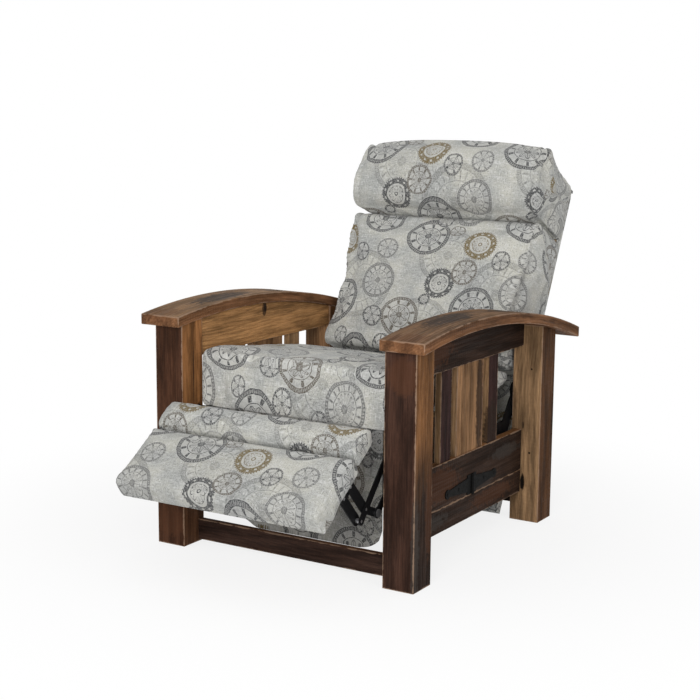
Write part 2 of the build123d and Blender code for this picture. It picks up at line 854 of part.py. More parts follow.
def footrest_soft(start, end, thickness):
    """A padded piece that wraps over the board's face and edges between two stations."""
    with BuildPart() as soft:
        with BuildSketch(footrest_plane):
            with Locations(((start + end) / 2, thickness / 2)):
                RectangleRounded(end - start, thickness, footrest_edge)
        extrude(amount=footrest_half, both=True)
        with BuildSketch(footrest_plane):
            cut_start, cut_end = footrest_wrap - side_play, board_end + side_play
            cut_low, cut_high = -overrun, footrest_board_thickness + side_play
            with Locations(((cut_start + cut_end) / 2, (cut_low + cut_high) / 2)):
                Rectangle(cut_end - cut_start, cut_high - cut_low)
        extrude(amount=footrest_board_half + side_play, both=True, mode=Mode.SUBTRACT)
    return soft.part


save(footrest_soft(0, footrest_pad_length, footrest_thickness), "footrest_pad")
footrest_roll_start = footrest_pad_length + soft_gap
save(footrest_soft(footrest_roll_start, footrest_length, footrest_roll_thickness), "footrest_roll")

with BuildPart() as footrest_bracket:
    with BuildSketch(footrest_plane.offset(bracket_layer)):
        Polygon(
            (flange_low, 0),
            (guide_station - bracket_eye_radius, -guide_drop),
            (toe_station + bracket_eye_radius, -bracket_drop),
            (flange_high, 0),
            align=None,
        )
        SlotCenterPoint(
            ((toe_station + guide_station) / 2, -(bracket_drop + guide_drop) / 2),
            (toe_station, -bracket_drop),
            2 * bracket_eye_radius,
        )
        with Locations((toe_station, -bracket_drop), (guide_station, -guide_drop)):
            Circle(stud_radius + pivot_play, mode=Mode.SUBTRACT)
    extrude(amount=steel_thickness)
    with BuildSketch(footrest_plane.offset(bracket_layer - bracket_flange_width)):
        with Locations(((flange_low + flange_high) / 2, -steel_thickness / 2)):
            Rectangle(flange_high - flange_low, steel_thickness)
    extrude(amount=bracket_flange_width)
    for station in bracket_screw_stations:
        bracket_screw(station, flange_screw_x, screw_hole, -steel_thickness, 0, Mode.SUBTRACT)
save_pair(footrest_bracket.part, "footrest_bracket")

with BuildPart() as bracket_fasteners:
    stud(guide_toe, bracket_layer, guide_layer)
    for station in bracket_screw_stations:
        head = -steel_thickness - screw_head_thickness
        bracket_screw(station, flange_screw_x, screw_radius, -steel_thickness, footrest_board_thickness)
        bracket_screw(station, flange_screw_x, screw_head_radius, head, -steel_thickness)
save_pair(bracket_fasteners.part, "bracket_fasteners")

# Back: a covered tray with a timber frame in it, springs and cushions
back_half = drive_layer - soft_gap
tray_inner_half = back_half - back_cover_thickness
frame_front = back_cover_thickness + side_play + back_frame_depth
frame_half = tray_inner_half - side_play


def back_block(s_low, s_high, t_low, t_high, half, mode=Mode.ADD):
    """A box in the back's own plane: s along it, t out of its face, and half its width."""
    with BuildSketch(back_plane) as outline:
        with Locations(((s_low + s_high) / 2, (t_low + t_high) / 2)):
            Rectangle(s_high - s_low, t_high - t_low)
    extrude(outline.sketch, amount=half, both=True, mode=mode)


with BuildPart() as back_cover:
    back_block(0, back_length, 0, frame_front, back_half)
    wall = back_cover_thickness
    back_block(wall, back_length - wall, wall, frame_front + overrun, tray_inner_half, Mode.SUBTRACT)
save(back_cover.part, "back_cover")

frame_low = back_cover_thickness + side_play
frame_high = back_length - back_cover_thickness - side_play
stile_inner = frame_half - back_stile_width
with BuildPart() as back_stiles:
    for x_low in (-frame_half, stile_inner):
        with BuildSketch(back_plane.offset(x_low)):
            with Locations(((frame_low + frame_high) / 2, frame_front - back_frame_depth / 2)):
                Rectangle(frame_high - frame_low, back_frame_depth)
        extrude(amount=back_stile_width)
save(back_stiles.part, "back_stiles")

with BuildPart() as back_rails:
    for s_low in (frame_low, middle_rail_rise, frame_high - back_rail_height):
        s_high = s_low + back_rail_height
        back_block(s_low, s_high, frame_front - back_frame_depth, frame_front, stile_inner)
save(back_rails.part, "back_rails")

back_spring_start = middle_rail_rise + back_rail_height / 2
back_spring_plane = Plane(
    origin=back_plane.from_local_coords((back_spring_start, frame_front + spring_lift, 0)),
    x_dir=back_plane.x_dir,
    z_dir=back_plane.y_dir,
)
back_spring_end = frame_high - back_rail_height * back_spring_end_share
back_spring = zigzag(back_spring_plane, back_spring_end - back_spring_start)
save(spring_row(back_spring, back_spring_count, back_spring_spacing), "back_springs")

cushion_back = frame_front + 2 * spring_lift + soft_gap
with BuildPart() as back_cushion:
    back_block(back_cushion_start, back_cushion_end, cushion_back, back_cushion_depth, seat_half)
    front_edges = back_cushion.edges().filter_by(Axis.X).sort_by(Axis((0, 0, 0), back_plane.y_dir))[-2:]
    fillet(front_edges, radius=back_cushion_edge)
save(back_cushion.part, "back_cushion")

roll_start = back_cushion_end + soft_gap
roll_length = head_roll_end - roll_start
roll_face = [
    (roll_start + share * roll_length, depth) for share, depth in zip(head_roll_shares, head_roll_depths)
]
with BuildPart() as head_roll:
    with BuildSketch(back_plane):
        with BuildLine():
            Polyline(
                roll_face[0],
                (roll_start, cushion_back),
                (back_length + soft_gap, cushion_back),
                (back_length + soft_gap, back_cover_thickness),
                (back_length + head_roll_back_edge, back_cover_thickness),
                roll_face[-1],
            )
            Spline(*roll_face)
        make_face()
    extrude(amount=seat_half, both=True)
save(head_roll.part, "head_roll")

# Brackets that carry the back on its pivots
pivot_local = back_plane.to_local_coords(Vector(0, *side(back_pivot)))
with BuildPart() as back_bracket:
    with BuildSketch(back_plane.offset(drive_layer)):
        with Locations((pivot_local.X, pivot_local.Y)):
            Circle(plate_lobe_radius)
        Polygon(
            (pivot_local.X - back_bracket_half_width, back_bracket_bite),
            (pivot_local.X - back_bracket_half_width, back_cover_thickness),
            (pivot_local.X + back_bracket_half_width, back_cover_thickness),
            (pivot_local.X + back_bracket_half_width, back_bracket_bite),
            (pivot_local.X + plate_lobe_radius, pivot_local.Y),
            (pivot_local.X - plate_lobe_radius, pivot_local.Y),
            align=None,
        )
        with Locations((pivot_local.X, pivot_local.Y)):
            Circle(stud_radius + pivot_play, mode=Mode.SUBTRACT)
    extrude(amount=steel_thickness)
with BuildPart() as back_brackets:
    add(back_bracket.part)
    mirror(back_bracket.part, about=Plane.YZ)
save(back_brackets.part, "back_brackets")
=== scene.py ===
import math

import bpy
import numpy as np
from mathutils import Matrix, Vector


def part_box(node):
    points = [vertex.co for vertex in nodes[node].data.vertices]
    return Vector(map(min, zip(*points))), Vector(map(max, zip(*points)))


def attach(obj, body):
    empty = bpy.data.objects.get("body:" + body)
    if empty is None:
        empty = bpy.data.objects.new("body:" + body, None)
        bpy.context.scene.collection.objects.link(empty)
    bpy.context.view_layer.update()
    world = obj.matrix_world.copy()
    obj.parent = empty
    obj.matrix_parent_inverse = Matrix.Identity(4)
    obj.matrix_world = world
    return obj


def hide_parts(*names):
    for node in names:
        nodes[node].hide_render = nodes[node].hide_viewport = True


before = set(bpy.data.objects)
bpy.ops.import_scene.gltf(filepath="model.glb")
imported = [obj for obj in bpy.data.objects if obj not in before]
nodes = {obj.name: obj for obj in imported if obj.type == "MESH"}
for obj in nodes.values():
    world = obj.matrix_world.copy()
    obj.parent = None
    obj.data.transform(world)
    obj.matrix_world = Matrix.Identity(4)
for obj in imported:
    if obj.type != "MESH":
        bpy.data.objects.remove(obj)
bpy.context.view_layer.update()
scene = bpy.context.scene
scene.view_settings.view_transform = "Standard"
bpy.ops.object.select_all(action="DESELECT")

# The camera stands to the sitter's left of the chair and a little above the arms, with
# the picture's own slight turn.
camera_place, lens, sensor = (2.1004, -3.5066, 1.2312), 75.715, 36
yaw, pitch, roll = (math.radians(angle) for angle in (31.556, 9.937, 0.474))
turn = Matrix.Rotation(yaw, 4, "Z") @ Matrix.Rotation(math.pi / 2 - pitch, 4, "X")
turn = turn @ Matrix.Rotation(roll, 4, "Z")
camera = bpy.data.objects.new("camera", bpy.data.cameras.new("camera"))
scene.collection.objects.link(camera)
camera.matrix_world = Matrix.Translation(camera_place) @ turn
camera.data.lens = lens
camera.data.sensor_width = sensor
scene.camera = camera


# The room: a pale floor that runs on into a plain white surround, under soft lamps high in
# front of the chair.
def feed(tree, socket, value):
    """Link another socket into this one, or give it a plain value."""
    if isinstance(value, bpy.types.NodeSocket):
        tree.links.new(value, socket)
    else:
        socket.default_value = value


def new_node(tree, kind, inputs=None, **settings):
    """One shader node with its settings by name, its inputs linked or given plain values."""
    node = tree.nodes.new("ShaderNode" + kind)
    for label, value in settings.items():
        setattr(node, label, value)
    for label, value in (inputs or {}).items():
        feed(tree, node.inputs[label], value)
    return node


def new_material(name):
    """An empty material with its node tree and its output."""
    material = bpy.data.materials.new(name)
    material.use_nodes = True
    tree = material.node_tree
    tree.nodes.clear()
    return material, tree, new_node(tree, "OutputMaterial")


def sums(tree, kind, *values, clamp=False):
    """One maths node, fed by sockets or plain numbers."""
    return new_node(tree, "Math", dict(enumerate(values)), operation=kind, use_clamp=clamp).outputs[0]


def times(tree, first, second):
    """The product of two sockets or plain numbers."""
    return sums(tree, "MULTIPLY", first, second)


def vector_sums(tree, kind, *values):
    """One vector maths node, fed by sockets or plain vectors."""
    node = new_node(tree, "VectorMath", dict(enumerate(values)), operation=kind)
    return node.outputs["Value" if kind in ("LENGTH", "DOT_PRODUCT") else "Vector"]


def smooth(tree, value, low, high, to_low=0.0, to_high=1.0):
    """A value eased from one range into another, and held at the ends."""
    ranges = {"Value": value, "From Min": low, "From Max": high, "To Min": to_low, "To Max": to_high}
    return new_node(tree, "MapRange", ranges, interpolation_type="SMOOTHSTEP").outputs[0]


def white_surround(tree, strength_elsewhere):
    """1 for the camera, gloss and glass, and a plain lighting strength for everything else."""
    path = new_node(tree, "LightPath").outputs
    gloss_or_glass = sums(tree, "MAXIMUM", path["Is Glossy Ray"], path["Is Transmission Ray"])
    seen = sums(tree, "MAXIMUM", path["Is Camera Ray"], gloss_or_glass)
    ranges = {"Value": seen, "To Min": strength_elsewhere, "To Max": 1}
    return new_node(tree, "MapRange", ranges).outputs[0]


surround_light = 0.64
scene.world = bpy.data.worlds.new("surround")
scene.world.use_nodes = True
tree = scene.world.node_tree
surround = tree.nodes["Background"].inputs
surround["Color"].default_value = (1, 1, 1, 1)
tree.links.new(white_surround(tree, surround_light), surround["Strength"])

# The floor glows by itself for the camera, more so away from the chair, till it is white
floor_size, floor_grey = 14, 0.86
fade_start, fade_end, glow_near = 0.5, 1.5, 0.82
bpy.ops.mesh.primitive_plane_add(size=floor_size, location=(0, 0, 0))
floor = bpy.context.object
floor.name = "floor"
floor_material, tree, output = new_material("pale_floor")
matt = new_node(tree, "BsdfDiffuse", {"Color": (floor_grey, floor_grey, floor_grey, 1)})
from_middle = vector_sums(tree, "LENGTH", new_node(tree, "TexCoord").outputs["Object"])
fade = smooth(tree, from_middle, fade_start, fade_end, glow_near, 1.0)
glow = new_node(tree, "Emission")
share = times(tree, white_surround(tree, 0), fade)
blend = new_node(tree, "MixShader", {0: share, 1: matt.outputs[0], 2: glow.outputs[0]})
tree.links.new(blend.outputs[0], output.inputs["Surface"])
floor.data.materials.append(floor_material)


def lamp(name, place, target, size, power):
    """A square soft lamp aimed at a point."""
    light = bpy.data.lights.new(name, "AREA")
    light.size = size
    light.energy = power
    holder = bpy.data.objects.new(name, light)
    scene.collection.objects.link(holder)
    holder.location = place
    holder.rotation_euler = (Vector(target) - Vector(place)).to_track_quat("-Z", "Y").to_euler()


lamp("key_lamp", (1.1, -3.3, 1.45), (0, 0, 0.45), 1.5, 60)
lamp("side_lamp", (3.0, -1.2, 1.9), (0, 0, 0.5), 1.6, 16)
lamp("top_lamp", (-0.2, -0.4, 3.4), (0, 0, 0.5), 2.2, 5)


# Old timber: posts, arms, rails, boards, slats and stretchers, sawn from salvaged barn
# beams, so that no two are alike in tone. They are waxed, with pale arrises, dark weathered
# faces, nail holes and knots. The arrises are pale partly from wear and partly as a painted
# highlight, and the holes and knots are painted near black as shade in their hollows.
def cloud(tree, place, stretch, detail=4.0, rough=0.55):
    """Soft noise at a stretch given per metre along X, Y and Z."""
    stretched = vector_sums(tree, "MULTIPLY", place, stretch)
    settings = {"Vector": stretched, "Scale": 1, "Detail": detail, "Roughness": rough}
    return new_node(tree, "TexNoise", settings).outputs["Fac"]


def split(tree, vector):
    """The X, Y and Z of a vector."""
    return new_node(tree, "SeparateXYZ", {0: vector}).outputs


def joined(tree, *values):
    """A vector from its X, Y and Z."""
    return new_node(tree, "CombineXYZ", dict(enumerate(values))).outputs[0]


def shifted(tree, place, shift, turn=(0, 0, 0)):
    """A place turned, then shifted."""
    return new_node(tree, "Mapping", {"Vector": place, "Location": shift, "Rotation": turn}).outputs[0]


def tint(tree, share, first, second, kind="MIX"):
    """Two colours mixed by a share."""
    mix = {"Factor": share, "A": first, "B": second}
    return new_node(tree, "Mix", mix, data_type="RGBA", blend_type=kind).outputs["Result"]


def new_group(name, inputs, outputs):
    """An empty shader group, with its inputs and outputs named and their kinds given."""
    tree = bpy.data.node_groups.new(name, "ShaderNodeTree")
    kinds = {"value": "NodeSocketFloat", "vector": "NodeSocketVector", "colour": "NodeSocketColor"}
    for way, sockets in (("INPUT", inputs), ("OUTPUT", outputs)):
        for label, kind in sockets.items():
            tree.interface.new_socket(label, in_out=way, socket_type=kinds[kind])
    return tree, tree.nodes.new("NodeGroupInput").outputs, tree.nodes.new("NodeGroupOutput").inputs


def put_group(tree, group, **values):
    """Place a group in a tree with its inputs fed, and give back its outputs."""
    inputs = {label.title(): value for label, value in values.items()}
    return new_node(tree, "Group", inputs, node_tree=group).outputs


grain, came, gave = new_group(
    "timber_grain",
    {"Place": "vector", "Light": "colour", "Middle": "colour", "Dark": "colour", "Stain": "value"},
    {"Colour": "colour", "Roughness": "value", "Height": "value"},
)
place = came["Place"]
drift = cloud(grain, place, (2.2, 9, 9), 3)
parts = split(grain, place)
ring_y = sums(grain, "MULTIPLY_ADD", drift, 0.05, parts["Y"])
ring_z = sums(grain, "MULTIPLY_ADD", drift, 0.035, parts["Z"])
ring_squares = sums(grain, "ADD", sums(grain, "POWER", ring_y, 2), sums(grain, "POWER", ring_z, 2))
rings = sums(grain, "SINE", times(grain, sums(grain, "SQRT", ring_squares), 900))
late_wood = smooth(grain, rings, 0.0, 1.0)
streaks = smooth(grain, cloud(grain, place, (5, 150, 150), 6, 0.65), 0.35, 0.68)
fibres = cloud(grain, place, (30, 1100, 1100), 3, 0.6)
patches = smooth(grain, cloud(grain, place, (3.2, 13, 13), 4), 0.38, 0.64)
blots = smooth(grain, cloud(grain, place, (9, 26, 26), 5, 0.7), 0.5, 0.7)
saw_wave = sums(grain, "MULTIPLY_ADD", parts["X"], 560, times(grain, drift, 14))
saw_marks = times(grain, sums(grain, "SINE", saw_wave), cloud(grain, place, (7, 7, 7), 2))
tone = tint(grain, streaks, came["Middle"], came["Light"])
tone = tint(grain, times(grain, late_wood, 0.32), tone, came["Dark"])
tone = tint(grain, times(grain, patches, 0.42), tone, came["Middle"])
worn_dark = sums(grain, "MULTIPLY_ADD", blots, 0.5, came["Stain"], clamp=True)
tone = tint(grain, times(grain, worn_dark, 0.9), tone, came["Dark"])
fleck = smooth(grain, fibres, 0.3, 0.7, 0.72, 1.22)
broad = smooth(grain, cloud(grain, place, (4, 34, 34), 5, 0.62), 0.34, 0.66, 0.56, 1.42)
shade = times(grain, fleck, broad)
grey = joined(grain, shade, shade, shade)
grain.links.new(vector_sums(grain, "MULTIPLY", tone, grey), gave["Colour"])
grain.links.new(smooth(grain, streaks, 0, 1, 0.78, 0.58), gave["Roughness"])
height = sums(grain, "ADD", times(grain, streaks, 0.5), times(grain, fibres, 0.6))
height = sums(grain, "MULTIPLY_ADD", late_wood, 0.25, height)
height = sums(grain, "MULTIPLY_ADD", saw_marks, 0.3, height)
grain.links.new(height, gave["Height"])

# A mask along a box's arrises, for their wear and a painted highlight
arris, came, gave = new_group(
    "arris_wear_and_highlight", {"Place": "vector", "Half": "vector", "Width": "value"}, {"Wear_And_Highlight": "value"}
)
# an arris is near where the second smallest of the depths under the three pairs of faces is small
inside = vector_sums(arris, "SUBTRACT", came["Half"], vector_sums(arris, "ABSOLUTE", came["Place"]))
depth = split(arris, inside)
near = sums(arris, "MINIMUM", depth["X"], depth["Y"])
far = sums(arris, "MAXIMUM", depth["X"], depth["Y"])
second = sums(arris, "MAXIMUM", near, sums(arris, "MINIMUM", far, depth["Z"]))
uneven = smooth(arris, cloud(arris, came["Place"], (34, 34, 34), 4), 0.3, 0.7, 0.15, 1.5)
ragged = times(arris, came["Width"], uneven)
arris.links.new(smooth(arris, sums(arris, "DIVIDE", second, ragged), 0.4, 1.0, 1, 0), gave["Wear_And_Highlight"])

scar, came, gave = new_group(
    "scar",
    {"Place": "vector", "Centre": "vector", "Size": "vector", "Ragged": "value"},
    {"Mask": "value"},
)
apart = vector_sums(scar, "SUBTRACT", came["Place"], came["Centre"])
spread = vector_sums(scar, "DIVIDE", apart, came["Size"])
lumpy = cloud(scar, came["Place"], (70, 70, 70), 5, 0.65)
rough_edge = times(scar, sums(scar, "SUBTRACT", lumpy, 0.5), came["Ragged"])
reach = sums(scar, "ADD", vector_sums(scar, "LENGTH", spread), rough_edge)
scar.links.new(smooth(scar, reach, 0.72, 1.12, 1, 0), gave["Mask"])

turns = {"x": (0, 0, 0), "y": (0, 0, math.radians(-90)), "z": (0, math.radians(90), 0)}
# near black painted into holes, notches and knot holes, as painted shade for their hollows
painted_hole_shade = (0.006, 0.004, 0.003, 1)
burnt = (0.022, 0.013, 0.009, 1)
weathered = (0.045, 0.038, 0.033, 1)
rusty = (0.09, 0.036, 0.017, 1)
slate = (0.03, 0.027, 0.026, 1)
mark_strengths = {painted_hole_shade: 1.0, burnt: 0.8, rusty: 0.45, weathered: 0.6, slate: 0.75}
# the pale band along every arris is partly wear and partly a painted highlight
edge_wear_and_highlight, pale_arris_width, pale_arris_strength = (0.33, 0.22, 0.15, 1), 0.0034, 0.6


def shades(red, green, blue, spread=1.45):
    """Light, middle and dark of one timber tone."""
    middle = (red, green, blue, 1)
    light = tuple(min(1, c * spread) for c in (red, green * 1.03, blue * 1.05)) + (1,)
    dark = tuple(c / spread**2 for c in (red, green * 0.95, blue * 0.95)) + (1,)
    return light, middle, dark


def active_only(piece):
    """Select one piece alone."""
    bpy.ops.object.select_all(action="DESELECT")
    piece.select_set(True)
    bpy.context.view_layer.objects.active = piece


def dress(material, *names, sharpest=35):
    """Give CAD pieces their finish, with edges up to an angle shaded smooth."""
    for name in names:
        nodes[name].data.materials.clear()
        nodes[name].data.materials.append(material)
        active_only(nodes[name])
        bpy.ops.object.shade_smooth_by_angle(angle=math.radians(sharpest))


def make_surface(tree, output, height, strength, depth, settings):
    """A finish with a bump, of a strength and a depth in metres, and its settings by name."""
    bump = new_node(tree, "Bump", {"Height": height, "Strength": strength, "Distance": depth})
    surface = new_node(tree, "BsdfPrincipled", {"Normal": bump.outputs[0], **settings})
    tree.links.new(surface.outputs[0], output.inputs["Surface"])


def read_all(items, label, width, kind=np.float32):
    """One measure of every point, face or corner of a mesh, a row for each."""
    values = np.empty(len(items) * width, dtype=kind)
    items.foreach_get(label, values)
    return values.reshape(-1, width)


def read_points(mesh):
    """A mesh's points as rows of X, Y and Z."""
    return read_all(mesh.vertices, "co", 3).astype(float)


def old_timber(
    name, along, tones, offset, facing=None, other=None, stain=0.0, marks=(), fade=None, bend=None
):
    """The timber of one piece: grain along an axis, and other tones on faces that look one way.

    Marks are coloured spots, each with its centre, half sizes, colour and raggedness. A fade
    gives the tones at the foot of a piece and the heights between which they come in. A bend
    gives an arc's centre (Y, Z), the radius of its middle line and half its thickness.
    """
    material, tree, output = new_material(name + "_timber")
    low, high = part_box(name)
    centre, half = (low + high) / 2, (high - low) / 2
    coordinates = new_node(tree, "TexCoord").outputs
    laid = spot = coordinates["Object"]
    if bend:
        apart = vector_sums(tree, "SUBTRACT", spot, (0, bend[0], bend[1]))
        reach = vector_sums(tree, "LENGTH", vector_sums(tree, "MULTIPLY", apart, (0, 1, 1)))
        parts = split(tree, spot)
        laid = joined(tree, parts["X"], parts["Y"], sums(tree, "SUBTRACT", reach, bend[2]))
        centre, half = Vector((centre.x, centre.y, 0)), Vector((half.x, half.y, bend[3]))
    turned = shifted(tree, laid, (offset, offset * 0.37, offset * 0.53), turns[along])
    if fade:
        foot_tones, fade_high, fade_low = fade
        uneven = cloud(tree, spot, (40, 40, 5), 4)
        ragged = sums(tree, "MULTIPLY_ADD", uneven, 0.3, split(tree, spot)["Z"])
        lower = smooth(tree, ragged, fade_low + 0.15, fade_high + 0.15, 1, 0)
        tones = [tint(tree, lower, a, b) for a, b in zip(tones, foot_tones)]
    if other:
        faces = vector_sums(tree, "DOT_PRODUCT", coordinates["Normal"], facing)
        mask = smooth(tree, faces, 0.55, 0.75)
        tones = [tint(tree, mask, a, b) for a, b in zip(tones, other)]
    light, middle, dark = tones
    wood = put_group(tree, grain, place=turned, light=light, middle=middle, dark=dark, stain=stain)
    colour, height = wood["Colour"], wood["Height"]
    for centre_point, size, mark_colour, ragged in marks:
        mark = put_group(tree, scar, place=spot, centre=centre_point, size=size, ragged=ragged)["Mask"]
        colour = tint(tree, times(tree, mark, mark_strengths[mark_colour]), colour, mark_colour)
        # the painted shade of a hole also sinks it in the bump
        if mark_colour is painted_hole_shade:
            height = sums(tree, "MULTIPLY_ADD", mark, -4, height)
    from_centre = vector_sums(tree, "SUBTRACT", laid, centre)
    # lighten the arrises, partly as wear and partly as a painted highlight
    wear = put_group(tree, arris, place=from_centre, half=half, width=pale_arris_width)["Wear_And_Highlight"]
    colour = tint(tree, times(tree, wear, pale_arris_strength), colour, edge_wear_and_highlight)
    make_surface(tree, output, height, strength=0.6, depth=0.0014, settings={
        "Base Color": colour, "Roughness": wood["Roughness"], "Specular IOR Level": 0.07,
    })
    dress(material, name, sharpest=40)


honey = shades(0.155, 0.07, 0.027)
amber = shades(0.2, 0.088, 0.032)
tan = shades(0.2, 0.108, 0.052)
sand = shades(0.22, 0.13, 0.066)
russet = shades(0.038, 0.018, 0.012)
chestnut = shades(0.075, 0.035, 0.018)
umber = shades(0.024, 0.013, 0.0085)
honey_rail = shades(0.3, 0.155, 0.062)
plum = shades(0.03, 0.014, 0.012)
front, up = (0, -1, 0), (0, 0, 1)

# Faces that the marks lie on, of the posts, the slats, the boards and the far rail
post_low, post_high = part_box("front_post_left")
rear_post_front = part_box("rear_post_left")[0].y
slat_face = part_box("wide_slat_left")[1].x
board_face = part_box("upper_side_board_left")[1].x
rail_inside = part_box("top_rail_left")[0].x

old_timber(
    "front_post_left", "z", honey, 1.0, front, russet, fade=(umber, 0.42, 0.2),
    marks=[
        ((0.37, post_low.y, 0.55), (0.05, 0.02, 0.05), rusty, 0.9),
        ((post_high.x, -0.43, 0.1), (0.01, 0.022, 0.16), weathered, 1.5),
        ((post_high.x, -0.36, 0.19), (0.01, 0.02, 0.12), rusty, 1.4),
    ],
)
old_timber(
    "front_post_right", "z", amber, 2.3, front, shades(0.05, 0.021, 0.011), fade=(chestnut, 0.3, 0.1),
    marks=[
        # the first mark is a knot hole, painted near black as the shade in its hollow
        ((-post_low.x, -0.363, 0.372), (0.012, 0.009, 0.02), painted_hole_shade, 1.1),
        ((-post_low.x, -0.385, 0.47), (0.01, 0.003, 0.09), burnt, 0.8),
        ((-0.36, post_low.y, 0.07), (0.05, 0.01, 0.05), rusty, 1.2),
    ],
)
old_timber(
    "rear_post_left", "z", shades(0.066, 0.029, 0.012), 3.1, front, sand,
    marks=[
        # nail holes and notches, painted near black as the shade in their hollows
        ((0.352, rear_post_front, 0.115), (0.007, 0.006, 0.026), painted_hole_shade, 0.6),
        ((0.35, rear_post_front, 0.285), (0.002, 0.006, 0.012), painted_hole_shade, 0.3),
        ((0.372, rear_post_front, 0.452), (0.003, 0.004, 0.003), painted_hole_shade, 0.3),
        ((0.372, rear_post_front, 0.205), (0.003, 0.004, 0.0035), painted_hole_shade, 0.3),
        ((post_high.x, 0.392, 0.29), (0.01, 0.006, 0.03), painted_hole_shade, 1.0),
    ],
)
old_timber("rear_post_right", "z", honey, 4.7, front, tan, 0.15)
for end, way, start in (("left", 1, 5.2), ("right", -1, 6.4)):
    slat, board = way * slat_face, way * board_face
    old_timber(
        "wide_slat_" + end, "z", tan, start, front, sand,
        marks=[((slat, 0.036, 0.4), (0.02, 0.021, 0.15), burnt, 1.2)],
    )
    old_timber(
        "narrow_slats_" + end, "z", sand, start + 0.7, (way, 0, 0), plum, 0.05,
        [((slat, 0.12, 0.3), (0.02, 0.05, 0.1), burnt, 1.2)],
    )
    old_timber(
        "upper_side_board_" + end, "y", umber, start + 1.9, up, honey,
        marks=[
            ((board, -0.2, 0.215), (0.01, 0.12, 0.05), rusty, 2.0),
            ((board, 0.03, 0.17), (0.01, 0.1, 0.03), weathered, 2.0),
            ((board, 0.2, 0.23), (0.01, 0.09, 0.02), weathered, 2.0),
        ],
    )
    old_timber(
        "lower_side_board_" + end, "y", umber, start + 2.7, up, tan,
        marks=[
            ((board, -0.25, 0.12), (0.01, 0.11, 0.022), weathered, 2.0),
            ((board, 0.12, 0.12), (0.01, 0.13, 0.025), rusty, 2.0),
        ],
    )
old_timber(
    "top_rail_left", "y", umber, 7.7, marks=[((board_face, -0.25, 0.58), (0.01, 0.12, 0.05), rusty, 1.8)]
)
old_timber(
    "top_rail_right", "y", honey_rail, 8.8, (-1, 0, 0), chestnut,
    marks=[
        # a knot, its hollow painted near black as shade, ringed by burnt wood
        ((-rail_inside, -0.037, 0.612), (0.01, 0.005, 0.012), painted_hole_shade, 1.0),
        ((-rail_inside, -0.04, 0.61), (0.01, 0.013, 0.021), burnt, 1.5),
    ],
)
old_timber("front_stretcher", "x", shades(0.034, 0.018, 0.013), 9.6, up, chestnut)
old_timber("rear_stretcher", "x", umber, 10.4, stain=0.2)

# The arms' arc in side view, fitted through the highest points along the solid itself
arm_points = read_points(nodes["arm_left"].data)[:, 1:]
stations = np.linspace(arm_points[:, 0].min() + 0.03, arm_points[:, 0].max() - 0.03, 9)
close = [arm_points[np.abs(arm_points[:, 0] - station) < 0.03] for station in stations]
tops = np.array([spots[spots[:, 1].argmax()] for spots in close if len(spots)])
fit = np.linalg.lstsq(np.c_[2 * tops, np.ones(len(tops))], (tops**2).sum(axis=1), rcond=None)[0]
arm_radius = math.sqrt(fit[2] + fit[0] ** 2 + fit[1] ** 2)
arm_thickness = 0.029
arm_bend = (fit[0], fit[1], arm_radius - arm_thickness / 2, arm_thickness / 2)
arm_side = shades(0.145, 0.067, 0.031)
near_top, far_top = shades(0.14, 0.08, 0.044), shades(0.19, 0.112, 0.06)
for end, way, start, top in (("left", 1, 11.5, near_top), ("right", -1, 12.9, far_top)):
    old_timber(
        "arm_" + end, "y", arm_side, start, up, top, bend=arm_bend,
        marks=[
            ((way * 0.373, 0.3, 0.64), (0.05, 0.13, 0.06), rusty, 2.0),
            ((way * 0.38, -0.42, 0.63), (0.06, 0.05, 0.03), rusty, 1.6),
            ((way * 0.36, -0.2, 0.69), (0.05, 0.15, 0.06), slate, 1.6),
            ((way * 0.372, 0.13, 0.69), (0.05, 0.14, 0.06), slate, 1.8),
        ],
    )

# Strap hinges of black forged iron, screwed across the side boards for show. The iron is
# hammered and oiled, with brown rubbed edges.
def iron_like(name, colour, rubbed, roughness, metallic, dents, dent_height):
    """Dark metal with dents and rubbed spots, laid on Object coordinates."""
    material, tree, output = new_material(name)
    spot = new_node(tree, "TexCoord").outputs["Object"]
    lumps = cloud(tree, spot, (dents, dents, dents), 3)
    rub = smooth(tree, cloud(tree, spot, (60, 60, 60), 5, 0.7), 0.56, 0.72)
    make_surface(tree, output, lumps, strength=0.6, depth=dent_height, settings={
        "Base Color": tint(tree, times(tree, rub, 0.6), colour, rubbed),
        "Roughness": smooth(tree, lumps, 0.3, 0.7, roughness - 0.1, roughness + 0.12),
        "Metallic": metallic,
        "Specular IOR Level": 0.1,
    })
    return material


forged = iron_like(
    "forged_iron", (0.004, 0.004, 0.0038, 1), (0.016, 0.012, 0.009, 1), 0.7, 0.0, 240, 0.0006
)
dress(forged, "strap_hinge_left", "strap_hinge_right")

# The reclining mechanism: pressed steel links and side plates, painted black, on zinc
# plated studs, with square tubes between the plates.
painted = iron_like(
    "black_painted_steel", (0.005, 0.005, 0.0055, 1), (0.014, 0.014, 0.015, 1), 0.45, 0.0, 500, 0.0001
)
plated = iron_like("zinc_plated_steel", (0.34, 0.34, 0.35, 1), (0.2, 0.19, 0.17, 1), 0.38, 0.9, 700, 0.0001)
wire = iron_like("spring_wire", (0.09, 0.09, 0.1, 1), (0.05, 0.045, 0.04, 1), 0.4, 0.9, 700, 0.0001)
for link in ("main_link", "ottoman_link", "guide_link", "drive_link", "footrest_bracket", "side_plate"):
    dress(painted, link + "_left", link + "_right")
for studs in ("plate_studs", "main_link_studs", "ottoman_link_studs", "bracket_fasteners"):
    dress(plated, studs + "_left", studs + "_right")
dress(painted, "cross_tubes", "back_brackets")
dress(plated, "mechanism_screws")
dress(wire, "seat_springs", "back_springs")

